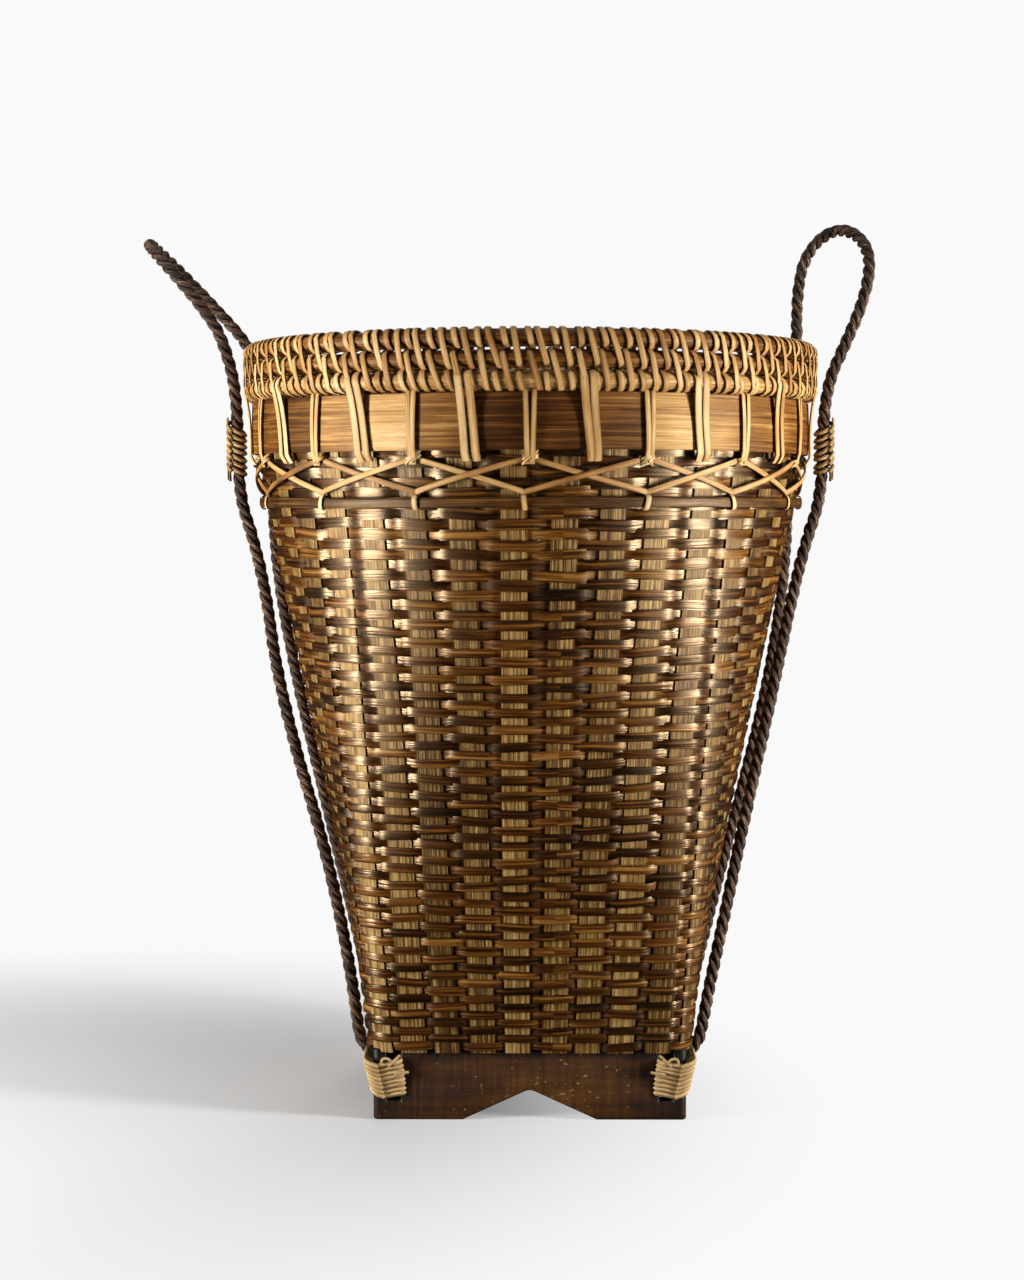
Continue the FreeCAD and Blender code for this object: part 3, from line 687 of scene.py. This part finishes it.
hoop_wood = splint_finish(
    "dark_hoop_split",
    (
        (0.1, (0.008, 0.0025, 0.0005)),
        (0.36, (0.035, 0.0115, 0.002)),
        (0.58, (0.095, 0.036, 0.007)),
        (0.85, (0.21, 0.10, 0.028)),
    ),
)
around_count = 144
ring_bow, ring_ripple, ring_warp = 0.00015, 0.0001, 0.0003
hoop_outer = hoop_high.x
hoop_thickness = 0.0024
hoop_belly = 0.0003
hoop_middle = (hoop_high.z + hoop_low.z) / 2
hoop_section = split_section(hoop_outer - hoop_thickness, hoop_outer, hoop_high.z - hoop_low.z, hoop_belly)
hoop = closed_ring("shoulder_hoop", hoop_section, around_count, hoop_middle, 0.44, hoop_wood)
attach(hoop, "root")
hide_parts("lower_hoop")


# Bands: a broad flat split outside the wall's top edge and one inside it, tied through the weave to each
# other. The outer one is pieced together from lengths of differing tone, and their tones also carry painted
# light: painted highlights on the lengths near the lit sides and painted shade on those at the front.
def band_finish(name, streaks):
    """Split or peeled rattan with straight dark and pale streaks round the rim."""
    material, grain, shade = grained_finish(name)
    fibre = grain.noise((5.0, streaks, 1.0), detail=5.0, roughness=0.75)
    pore = grain.noise((30.0, streaks * 3, 1.0), detail=2.0)
    cloud = grain.noise((22.0, 2.5, 1.0), detail=3.0)
    body = (shade + fibre * 1.1 + pore * 0.4 + cloud * 0.45 - 0.975).ramp(
        (0.05, (0.010, 0.003, 0.0006)),
        (0.3, (0.056, 0.0155, 0.002)),
        (0.5, (0.21, 0.08, 0.0135)),
        (0.7, (0.49, 0.27, 0.083)),
        (0.95, (0.78, 0.57, 0.29)),
    )
    relief = (fibre + pore * 0.5).bump(0.5, 0.0006)
    return dress(material, body, 0.3 + fibre * 0.35, relief, gloss=0.35, tint=(1.0, 0.7, 0.38, 1.0))


band_wood = band_finish("band_split_wood", 30.0)
band_belly = 0.0004
band_lengths = (-180, -112, -67, -45, -33.5, -23, -11, 11, 22, 34, 45, 67, 112, 180)
# partly the lengths' own tones and partly painted light: the lengths about 30 degrees each side of the front
# are made pale as painted highlights, and those at the front dark as painted shade
band_tones_and_light = (0.5, 0.44, 0.36, 0.56, 0.74, 0.46, 0.3, 0.4, 0.66, 0.5, 0.46, 0.42, 0.5)


def band_tone_and_light(angle):
    """The tone of the length of band that lies at an angle from the front, partly its own and partly painted
    light.
    """
    angle = (angle + 180) % 360 - 180
    length = np.clip(np.searchsorted(band_lengths, angle) - 1, 0, len(band_tones_and_light) - 1)
    return np.asarray(band_tones_and_light)[length]


for band_name, node, thickness, shade in (
    ("outer_band", "rim_band_outer", 0.0025, band_tone_and_light),
    ("inner_band", "rim_band_inner", 0.002, 0.45),
):
    low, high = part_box(node)
    section = split_section(high.x - thickness, high.x, high.z - low.z, band_belly)
    band = closed_ring(band_name, section, around_count * 2, (low.z + high.z) / 2, shade, band_wood)
    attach(band, "root")
    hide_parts(node)


# Rim rods: three peeled round rods bent into hoops, one above the other on top of the bands, with the
# swellings of the cane they were cut from.
rod_finish = band_finish("rim_rod_cane", 13.0)
rod_swell = 1.06
rod_turn = np.radians(np.arange(0, 360, 30))
rods = {}
for rod_name, shade in (("lower", 0.68), ("middle", 0.43), ("upper", 0.39)):
    node = "rim_rod_" + rod_name
    low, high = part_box(node)
    rod_radius = (high.z - low.z) / 2 * rod_swell
    rim_circle = high.x - (high.z - low.z) / 2
    rods[rod_name] = (low.z + high.z) / 2
    section = np.column_stack([rim_circle + rod_radius * np.cos(rod_turn), rod_radius * np.sin(rod_turn)])
    rod = closed_ring("rim_rod_" + rod_name, section, around_count, rods[rod_name], shade, rod_finish)
    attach(rod, "root")
    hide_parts(node)


# Rim stitches: flat strips of cane sewn round the rods in four rows. The upper row takes the top rod
# alone and the top two by turns, the next takes the lower two, and the last the lowest rod alone.
rim_cane = cane_finish(
    "rim_sewing_cane",
    (
        (0.05, (0.09, 0.03, 0.006)),
        (0.35, (0.38, 0.175, 0.047)),
        (0.6, (0.63, 0.37, 0.135)),
        (0.95, (0.84, 0.63, 0.34)),
    ),
    roughness=0.48,
    gloss=0.4,
)
chance = np.random.default_rng(71)
stitch_count = 80
stitch_step = 360 / stitch_count
stitch_width = 0.0031
stitch_thickness = 0.0008
stitch_slant = 0.25
stitch_turn = np.linspace(-1.5 * math.pi, 0.5 * math.pi, 13)
stitch_circle = rod_radius + 0.0001
stitch_rows = {
    "upper_short": ("upper", "upper", 0.0),
    "upper_long": ("middle", "upper", 0.5),
    "lower_long": ("lower", "middle", 0.07),
    "lower_short": ("lower", "lower", 0.62),
}


def round_rods(low_z, high_z, angle, slant):
    """The line of a stitch once round one rod, or round two that lie one above the other."""
    rise, lean = np.sin(stitch_turn), np.cos(stitch_turn)
    centre = np.where(rise > 0, high_z, low_z)
    centre = np.where(np.abs(rise) < 0.01, (low_z + high_z) / 2, centre)
    z = centre + stitch_circle * rise
    swing = math.radians(angle) - slant * (z - (low_z + high_z) / 2) / rim_circle
    return around_axis(rim_circle + stitch_circle * lean, swing, z), around_axis(lean, swing, rise)


for row_name, (low_rod, high_rod, offset) in stitch_rows.items():
    runs = []
    for number in range(stitch_count):
        angle = (number + offset) * stitch_step + chance.normal(0, 0.25)
        slant = stitch_slant + chance.normal(0, 0.06)
        line, outward = round_rods(rods[low_rod], rods[high_rod], angle, slant)
        runs.append((line, outward, chance.normal(0.5, 0.09)))
    stitches = bent_strips("rim_stitches_" + row_name, runs, stitch_width, stitch_thickness, rim_cane)
    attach(stitches, "root")
    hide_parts("rim_stitches_" + row_name)


# Band ties: cane strips over the outer band. Tight pairs run straight down to the knots of the lacing,
# and between them wider pairs slant from the gap above the lowest rod to below the band.
chance = np.random.default_rng(83)
tie_count = 16
tie_step = 360 / tie_count
tie_widths = {"short": 0.0027, "long": 0.0041}
tie_gaps = {"short": 0.0019, "long": 0.0025}
tie_thickness = 0.0008
tie_slants = {"short": -0.03, "long": 0.11}
long_tie_shift = -0.9
strap_places = (90.0, 112.5, -90.0, -112.5)
band_face = band_high.x + 0.0002
lace_top = 0.353


def upright_line(profile, angle, slant):
    """A strip's line over a profile of radii and heights, slanting to the right as it goes down."""
    radius, z = np.asarray(profile).T
    swing = math.radians(angle) + slant * (z[0] - z) / rim_circle
    return around_axis(radius, swing, z), around_axis(1, swing, np.zeros(len(z)))


band_drop = np.linspace(0, 1, 9)
short_profile = [(band_face - 0.001, band_high.z + 0.001)]
short_profile += [
    (band_face + 0.0006 * math.sin(math.pi * step), band_high.z - (band_high.z - band_low.z) * step)
    for step in band_drop
]
short_profile += [(band_face - 0.0007, lace_top + 0.002), (band_face - 0.0018, lace_top - 0.003)]
long_profile = [
    (rim_circle + stitch_circle * math.cos(turn), rods["lower"] + stitch_circle * math.sin(turn))
    for turn in np.radians(np.linspace(95, 0, 7))
]
rod_face, rod_z = long_profile[-1]
tie_face = band_face + 0.0003
long_profile += [
    (tie_face + (rod_face - tie_face) * (1 - step) ** 3, rod_z + (band_low.z - 0.001 - rod_z) * step)
    for step in band_drop[1:]
]
long_profile += [(band_face - 0.0006, band_low.z - 0.003), (band_face - 0.0022, band_low.z - 0.0052)]
tie_runs = {"short": [], "long": []}
for number in range(tie_count):
    angle = (number * tie_step + 180) % 360 - 180
    for apart in (-1, 1):
        if angle not in strap_places:
            aside = angle + math.degrees(tie_gaps["short"] * apart / rim_circle) + chance.normal(0, 0.1)
            slant = chance.normal(tie_slants["short"] * apart, 0.012)
            tie_runs["short"].append((*upright_line(short_profile, aside, slant), chance.normal(0.55, 0.08)))
        aside = angle + tie_step / 2 + long_tie_shift + math.degrees(tie_gaps["long"] * apart / rim_circle)
        slant = tie_slants["long"] + chance.normal(0, 0.02)
        tie_runs["long"].append((*upright_line(long_profile, aside, slant), chance.normal(0.58, 0.08)))
for tie_name, runs in tie_runs.items():
    ties = bent_strips("band_ties_" + tie_name, runs, tie_widths[tie_name], tie_thickness, rim_cane)
    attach(ties, "root")
    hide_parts("band_ties_" + tie_name)


# Cross lacing: two flat strips of cane that zigzag between the band and the shoulder hoop and cross
# half way. They knot under each tight pair of ties and loop round the hoop below it.
chance = np.random.default_rng(97)
lace_bottom = 0.336
lace_width = 0.0029
lace_thickness = 0.0009
lace_bow = 0.0006
lace_steps = np.linspace(0, 1, 25)
lace_feet = chance.normal(-0.8, 1.1, tie_count)
for lace_name, falling, height in (("under", True, 0.0009), ("over", False, 0.0020)):
    runs = []
    for number in range(tie_count):
        onward = (number + 1) % tie_count
        start = number * tie_step + (0 if falling else lace_feet[number])
        stop = (number + 1) * tie_step + (lace_feet[onward] if falling else 0)
        bow = lace_bow * np.sin(np.pi * lace_steps) * chance.uniform(-1, 1)
        fall = lace_steps if falling else 1 - lace_steps
        z = lace_top - (lace_top - lace_bottom) * fall + bow
        out = 0.0005 + height * np.sin(np.pi * lace_steps) ** 0.5
        line, outward = wall_points(start + (stop - start) * lace_steps, z, out)
        runs.append((line, outward, chance.normal(0.43, 0.09)))
    lacing = bent_strips("cross_lacing_" + lace_name, runs, lace_width, lace_thickness, rim_cane)
    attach(lacing, "root")
    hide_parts("cross_lacing_" + lace_name)

knot_depth, knot_breadth, knot_height = 0.0021, 0.0032, 0.0040
knot_lean, knot_ripple = 0.0019, 0.0005
knot_turn = np.linspace(0, 2.7 * 2 * math.pi, 33)
loop_turn = np.linspace(-math.pi, math.pi, 15)
loop_depth = 0.0015
loop_half = (hoop_high.z - hoop_low.z) / 2 + 0.0004
knot_runs = []
loop_runs = []
for number in range(tie_count):
    angle = number * tie_step
    centre, facing = wall_points(angle, lace_top, 0.0012)
    across = np.asarray((-facing[1], facing[0], 0.0))
    rise, lean = np.sin(knot_turn), np.cos(knot_turn)
    coil = np.outer(lean * knot_depth, facing) + np.outer(rise * knot_breadth, across)
    coil[:, 2] = (knot_turn / knot_turn[-1] - 0.5) * knot_height + knot_lean * rise
    coil[:, 2] += knot_ripple * np.sin(knot_turn * 2.3)
    outward = unit(np.outer(lean, facing) + np.outer(rise * 0.6, across))
    knot_runs.append((centre + coil, outward, chance.normal(0.58, 0.08)))
    rise, lean = np.sin(loop_turn), np.cos(loop_turn)
    z = hoop_middle + loop_half * rise * (1.25 - 0.25 * rise ** 2)
    radius = hoop_outer - hoop_thickness / 2 + loop_depth * lean
    swing = math.radians(angle + lace_feet[number]) + chance.normal(0, 0.12) * (z - hoop_middle) / hoop_outer
    outward = around_axis(lean, swing, rise)
    loop_runs.append((around_axis(radius, swing, z), outward, chance.normal(0.7, 0.08)))
for coil_name, runs, width, thickness, node in (
    ("lacing_knots", knot_runs, 0.0014, 0.0008, "cross_lacing_over"),
    ("hoop_loops", loop_runs, 0.0028, 0.0007, "hoop_ties"),
):
    coils = bent_strips(coil_name, runs, width, thickness, rim_cane)
    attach(coils, "root")
    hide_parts(node)


# Straps: on each side one dark laid rope of three strands. It comes out of a hole in the base, climbs
# beside the wall to a lashing at the band, stands in a loop above the rim and goes down again behind.
def rope_finish(name):
    """Dark twisted fibre, paler on the crests of its strands and black between them, where the black is
    painted shade in the grooves.
    """
    material, paint = new_finish(name)
    grain = paint.node("UVMap", {"uv_map": "UVMap"}, {})
    fibre = grain.noise((140.0, 14.0, 1.0), detail=4.0, roughness=0.7)
    hair = grain.noise((500.0, 40.0, 1.0), detail=2.0)
    cloud = grain.noise((35.0, 1.2, 1.0), detail=2.0)
    # painted shade: each strand turns near black on its side towards the other strands, in the grooves
    # between them
    groove_shade_mask = (1 - grain.part(1).hump()) ** 0.7
    twine = (fibre * 1.7 + hair * 0.5 + cloud * 0.6 - 0.9).ramp(
        (0.26, (0.008, 0.0026, 0.0008)),
        (0.48, (0.05, 0.02, 0.0085)),
        (0.62, (0.17, 0.085, 0.04)),
        (0.8, (0.5, 0.34, 0.22)),
    )
    colour = groove_shade_mask.mix((0.004, 0.0014, 0.0005, 1.0), twine)
    return dress(material, colour, 0.75 - fibre * 0.3, (fibre + hair).bump(0.7, 0.0008), gloss=0.3)


def rolled_strand(middle, spoke, beside, radius, sides, length, grain_start):
    """A round strand along its middle line, rolled up from a flat blank."""
    strand, flat = flat_blank(len(middle) - 1, sides)
    station = step_of(flat[:, 0], len(middle) - 1)
    turn = -np.pi * (flat[:, 1:2] + 1)
    rolled = spoke[station] * np.cos(turn) + beside[station] * np.sin(turn)
    strand.data.vertices.foreach_set("co", (middle[station] + radius[station, None] * rolled).ravel())
    mark_grain(strand.data, length, grain_start, 0.5)
    merge(0.000001, close_up)
    return strand


rope_hemp = rope_finish("strap_rope_fibre")
rope_diameter = 0.0072
rope_lay = 0.0205
rope_stations = 680
strand_count = 3
strand_sides = 9
strand_radius = rope_diameter * 0.237
strand_offset = rope_diameter / 2 - strand_radius
strap_circle = 0.16495
hitch_low, hitch_high = 0.336, 0.39275
strap_routes = {
    "right": {
        "front": [
            (0.0932, -0.0458, 0.0335), (0.0958, -0.0455, 0.046), (0.0995, -0.0438, 0.066),
            (0.1075, -0.0395, 0.102), (0.12, -0.0315, 0.16), (0.1345, -0.0215, 0.222),
            (0.1464, -0.0115, 0.276), (0.1548, -0.005, 0.308),
        ],
        "loop": [
            (0.179, 0.0, 0.424), (0.185, -0.002, 0.439), (0.1895, -0.0015, 0.455),
            (0.191, 0.0055, 0.470), (0.187, 0.019, 0.482), (0.178, 0.034, 0.488),
            (0.1675, 0.049, 0.4835), (0.160, 0.060, 0.471), (0.1578, 0.065, 0.4545),
            (0.1572, 0.0653, 0.4385), (0.1575, 0.0643, 0.424),
        ],
        "back": [
            (0.0932, 0.0462, 0.0335), (0.096, 0.0468, 0.046), (0.101, 0.048, 0.066),
            (0.110, 0.0505, 0.102), (0.1245, 0.054, 0.157), (0.1395, 0.0575, 0.217),
            (0.1485, 0.0605, 0.270), (0.1518, 0.0622, 0.307),
        ],
    },
    "left": {
        "front": [
            (-0.0932, -0.0458, 0.0335), (-0.0954, -0.0455, 0.046), (-0.098, -0.044, 0.066),
            (-0.1048, -0.040, 0.102), (-0.1155, -0.034, 0.146), (-0.1305, -0.026, 0.193),
            (-0.1425, -0.017, 0.240), (-0.148, -0.0095, 0.277), (-0.1556, -0.0035, 0.309),
        ],
        "loop": [
            (-0.1735, 0.0, 0.424), (-0.183, -0.0015, 0.4385), (-0.196, -0.0015, 0.4545),
            (-0.2085, 0.0045, 0.468), (-0.2165, 0.0175, 0.4765), (-0.219, 0.0335, 0.4793),
            (-0.215, 0.049, 0.4755), (-0.206, 0.0605, 0.4662), (-0.194, 0.066, 0.4535),
            (-0.180, 0.066, 0.4385), (-0.167, 0.0643, 0.424),
        ],
        "back": [
            (-0.0932, 0.0462, 0.0335), (-0.0958, 0.0468, 0.046), (-0.100, 0.048, 0.066),
            (-0.1085, 0.0505, 0.102), (-0.122, 0.054, 0.157), (-0.1365, 0.0575, 0.217),
            (-0.147, 0.0605, 0.270), (-0.1515, 0.0622, 0.307),
        ],
    },
}
strap_angles = {"front": 90.0, "back": 112.5}
rope_hole_z = 0.027
rope_hole_y = {"front": -0.046, "back": 0.046}
rope_start = 0.0727
rope_mouth = 0.086
strap_axes = {}
for side, mirror in (("right", 1), ("left", -1)):
    ends = {}
    for run_name, angle in strap_angles.items():
        swing = math.radians(angle) * mirror
        x, y = strap_circle * math.sin(swing), -strap_circle * math.cos(swing)
        strap_axes[f"{side}_{run_name}"] = (x, y)
        ends[run_name] = [
            (mirror * rope_start, rope_hole_y[run_name], rope_hole_z),
            (mirror * rope_mouth, rope_hole_y[run_name], rope_hole_z),
            *strap_routes[side][run_name],
            (x, y, hitch_low),
            (x, y, hitch_high),
        ]
    route = ends["front"] + strap_routes[side]["loop"] + ends["back"][::-1]
    curve = bpy.data.curves.new("strap_line", "CURVE")
    curve.dimensions = "3D"
    spline = curve.splines.new("NURBS")
    spline.points.add(len(route) - 1)
    for point, place in zip(spline.points, route):
        point.co = (*place, 1.0)
    spline.order_u = 3
    spline.use_endpoint_u = True
    spline.resolution_u = 20
    guide = bpy.data.objects.new("strap_line", curve)
    bpy.context.collection.objects.link(guide)
    line_mesh = bpy.data.meshes.new_from_object(guide)
    rope_line = np.asarray([vertex.co[:] for vertex in line_mesh.vertices])
    bpy.data.objects.remove(guide)
    bpy.data.meshes.remove(line_mesh)
    travel = travelled(rope_line)
    steps = np.linspace(0, travel[-1], rope_stations)
    core = np.column_stack([np.interp(steps, travel, rope_line[:, axis]) for axis in range(3)])
    along = unit(np.gradient(core, axis=0))
    across = np.empty_like(along)
    across[0] = (0.0, 0.0, 1.0)
    for number in range(1, len(along)):
        turned = across[number - 1] - along[number] * across[number - 1].dot(along[number])
        across[number] = turned / np.linalg.norm(turned)
    beside = np.cross(along, across)
    strands = []
    for number in range(strand_count):
        lay = 2 * math.pi * (number / strand_count - steps / rope_lay)
        spoke = across * np.cos(lay)[:, None] + beside * np.sin(lay)[:, None]
        middle = core + spoke * strand_offset
        strand_along = unit(np.gradient(middle, axis=0))
        strand_out = unit(spoke - strand_along * np.sum(spoke * strand_along, axis=1)[:, None])
        strand_beside = np.cross(strand_along, strand_out)
        swell = strand_radius * (1 + 0.05 * np.sin(steps * 300 + number))
        strands.append(rolled_strand(
            middle, strand_out, strand_beside, swell, strand_sides, travel[-1], number * 3.7
        ))
    strap = join_as(side + "_strap", strands)
    bpy.ops.object.shade_smooth()
    strap.data.materials.append(rope_hemp)
    side + "_loop"
    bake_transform(strap)
    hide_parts(side + "_strap_front", side + "_strap_loop", side + "_strap_back")


# Strap lashings: flat cane wound round each rope and through the wall under the rim. Each turn leans
# across the rope, and its end hooks down over its start in a plait on the outer side. Loose ends stick out.
chance = np.random.default_rng(127)
winding_low, winding_high = 0.3475, 0.37325
winding_turns = 7
winding_pitch = (winding_high - winding_low) / winding_turns
winding_inner = rope_diameter / 2 + 0.0001
winding_width = 0.0023
winding_thickness = 0.001
winding_crown = 0.8
winding_tilt = 0.0027
hook_lift = 0.0014
hook_drop = 0.0052
winding_share = np.linspace(-0.06, 1.16, 31)
winding_hook = np.clip((winding_share - 0.97) / 0.19, 0, 1)
hitch_tail_width = 0.0016
hitch_tail_lift, hitch_tail_spring = 0.0013, 0.0006
hitch_tails = ((0.0, 0.0085, 0.9), (0.6, 0.007, -0.8), (0.15, -0.0065, 0.6), (-0.4, -0.008, -0.4))


def round_rope(x, y, turn, out, z):
    """A line round a rope that stands at x and y, and its outward directions."""
    outward = np.column_stack([np.cos(turn), np.sin(turn), np.zeros(len(turn))])
    return np.column_stack([x + out * outward[:, 0], y + out * outward[:, 1], z]), outward


for lash_name, (x, y) in strap_axes.items():
    facing = math.atan2(y, x)
    way = 1 if x < 0 else -1
    turn = facing + way * 2 * math.pi * winding_share
    turns = []
    for number in range(winding_turns):
        out = winding_inner + hook_lift * np.clip(winding_hook * 2.5, 0, 1)
        tilt = winding_tilt + chance.normal(0, 0.0005)
        z = winding_low + winding_pitch * (number + winding_share)
        z = z + tilt * np.cos(turn - facing) - hook_drop * winding_hook
        turns.append((*round_rope(x, y, turn, out, z), chance.normal(0.5, 0.07)))
    tails = []
    for start, rise, spread in hitch_tails:
        tail_turn = facing + way * (start + spread * tail_steps * 0.6)
        z = (winding_high if rise > 0 else winding_low) + rise * tail_steps - rise * 0.4
        out = winding_inner + hitch_tail_lift + hitch_tail_spring * tail_steps
        tails.append((*round_rope(x, y, tail_turn, out, z), 0.55))
    winding = join_as("strap_lashing_" + lash_name, [
        bent_strips("turns", turns, winding_width, winding_thickness, pale_cane, winding_crown),
        bent_strips("tails", tails, hitch_tail_width, tail_thickness, pale_cane),
    ])
    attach(winding, "root")
    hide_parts("strap_lash_" + lash_name)


# Stopper knots: an overhand knot in each rope end inside the base frame, which keeps the rope from
# drawing out of its hole.
stopper_size = 0.0026 * 0.62
stopper_radius = 0.0027
stopper_sides = 10
stopper_length = 0.09
stopper_x = 0.0665
turn = np.linspace(0, 2 * math.pi, 61)
overhand = np.column_stack([
    np.sin(3 * turn) * 0.9, np.sin(turn) + 2 * np.sin(2 * turn), np.cos(turn) - 2 * np.cos(2 * turn)
])
stoppers = []
for mirror in (1, -1):
    for hole_y in rope_hole_y.values():
        middle = overhand * stopper_size + (mirror * stopper_x, hole_y, rope_hole_z)
        along = unit(np.roll(middle[:-1], -1, 0) - np.roll(middle[:-1], 1, 0))
        along = np.vstack([along, along[:1]])
        spoke = unit(np.cross(along, (1.0, 0.3, 0.1)))
        beside = np.cross(along, spoke)
        radius = np.full(len(middle), stopper_radius)
        stoppers.append(rolled_strand(
            middle, spoke, beside, radius, stopper_sides, stopper_length, mirror * 2.0
        ))
stopper_knots = join_as("stopper_knots", stoppers)
bpy.ops.object.shade_smooth()
stopper_knots.data.materials.append(rope_hemp)
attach(stopper_knots, "root")
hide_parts("strap_knots")


# Stage: a pale floor, greyer in a soft pool at the left where the shadow falls, that fades into a pale
# backdrop: the pool is a painted shadow, grey floor round the real shadow there. Two tall soft lamps stand
# at the left and right, weaker ones behind and above, and the camera at the height of the shoulder.
background = 0.947
painted_shadow_offset = (0.27, 0.05, 0.0)
painted_shadow_reach = (0.14, 0.46)
bpy.ops.object.select_all(action="DESELECT")
bpy.ops.mesh.primitive_circle_add(vertices=96, radius=4.0, fill_type="NGON")
floor = bpy.context.object
floor.name = "floor"
material, paint = new_finish("pale_floor")
shader = material.node_tree.nodes["Principled BSDF"]
place = paint.node("TexCoord", {}, {}, output="Object")
aside = place.node("VectorMath", {"operation": "ADD"}, {0: place, 1: painted_shadow_offset})
away = place.node("VectorMath", {"operation": "LENGTH"}, {0: aside}, output="Value")
seen = paint.node("LightPath", {}, {}, output="Is Camera Ray")
glow = paint.node("Emission", {}, {"Color": (background, background, background, 1.0)})
beside = place.part(0).size().smooth(0.26, 0.5)
behind = place.part(1).smooth(0.0, 0.3)
unseen = (beside * (1 - behind)).mix((0.015, 0.013, 0.011, 1.0), (0.6, 0.6, 0.6, 1.0))
# painted shadow: the camera sees the floor grey, and only within the pool at the left, beside the real
# shadow, before it fades to the pale glow
paint.feed(shader.inputs["Base Color"], seen.mix(unseen, (0.72, 0.72, 0.72, 1.0)))
shader.inputs["Roughness"].default_value = 0.9
shader.inputs["Specular IOR Level"].default_value = 0.1
lit = Tone(material.node_tree, shader.outputs[0])
both = paint.node("MixShader", {}, {0: away.smooth(*painted_shadow_reach) * seen, 1: lit, 2: glow})
paint.feed(material.node_tree.nodes["Material Output"].inputs["Surface"], both)
floor.data.materials.append(material)

world = bpy.data.worlds.new("studio")
world.use_nodes = True
bpy.context.scene.world = world
air = Tone(world.node_tree)
seen = air.node("LightPath", {}, {}, output="Is Camera Ray")
ambient = 0.03
sky = world.node_tree.nodes["Background"].inputs
air.feed(sky["Color"], (1.0, 1.0, 1.0, 1.0))
air.feed(sky["Strength"], ambient + seen * (background - ambient))


def soft_lamp(name, azimuth, distance, height, size, power, aim_z):
    """A soft lamp at an angle from the front, aimed at a height on the basket's axis."""
    swing = math.radians(azimuth)
    light = bpy.data.lights.new(name, "AREA")
    light.shape = "RECTANGLE"
    light.size, light.size_y = size
    light.energy = power
    lamp = bpy.data.objects.new(name, light)
    lamp.location = (distance * math.sin(swing), -distance * math.cos(swing), height)
    lamp.rotation_mode = "XYZ"
    tilt = math.atan2(height - aim_z, distance)
    lamp.rotation_euler = (math.pi / 2 - tilt, 0.0, swing)
    bpy.context.collection.objects.link(lamp)


soft_lamp("left_lamp", -67, 1.1, 0.25, (0.18, 0.5), 20.0, 0.22)
soft_lamp("right_lamp", 69, 1.1, 0.25, (0.18, 0.5), 20.0, 0.22)
soft_lamp("back_lamp", 180, 1.8, 1.1, (1.2, 1.2), 14.0, 0.25)
soft_lamp("top_lamp", 20, 0.25, 1.9, (0.9, 0.9), 6.5, 0.3)

photo_height = 1280
focal_pixels = 2262
horizon_rise = 138
axis_right = 18
camera = bpy.data.cameras.new("camera")
camera.sensor_width = 36.0
camera.lens = camera.sensor_width * focal_pixels / photo_height
eye = bpy.data.objects.new("camera", camera)
eye.location = (0.0, -1.28, 0.331)
eye.rotation_euler = (
    math.pi / 2 - math.atan2(horizon_rise, focal_pixels), 0.0, math.atan2(axis_right, focal_pixels)
)
bpy.context.collection.objects.link(eye)
bpy.context.scene.camera = eye
bpy.context.scene.view_settings.view_transform = "Standard"
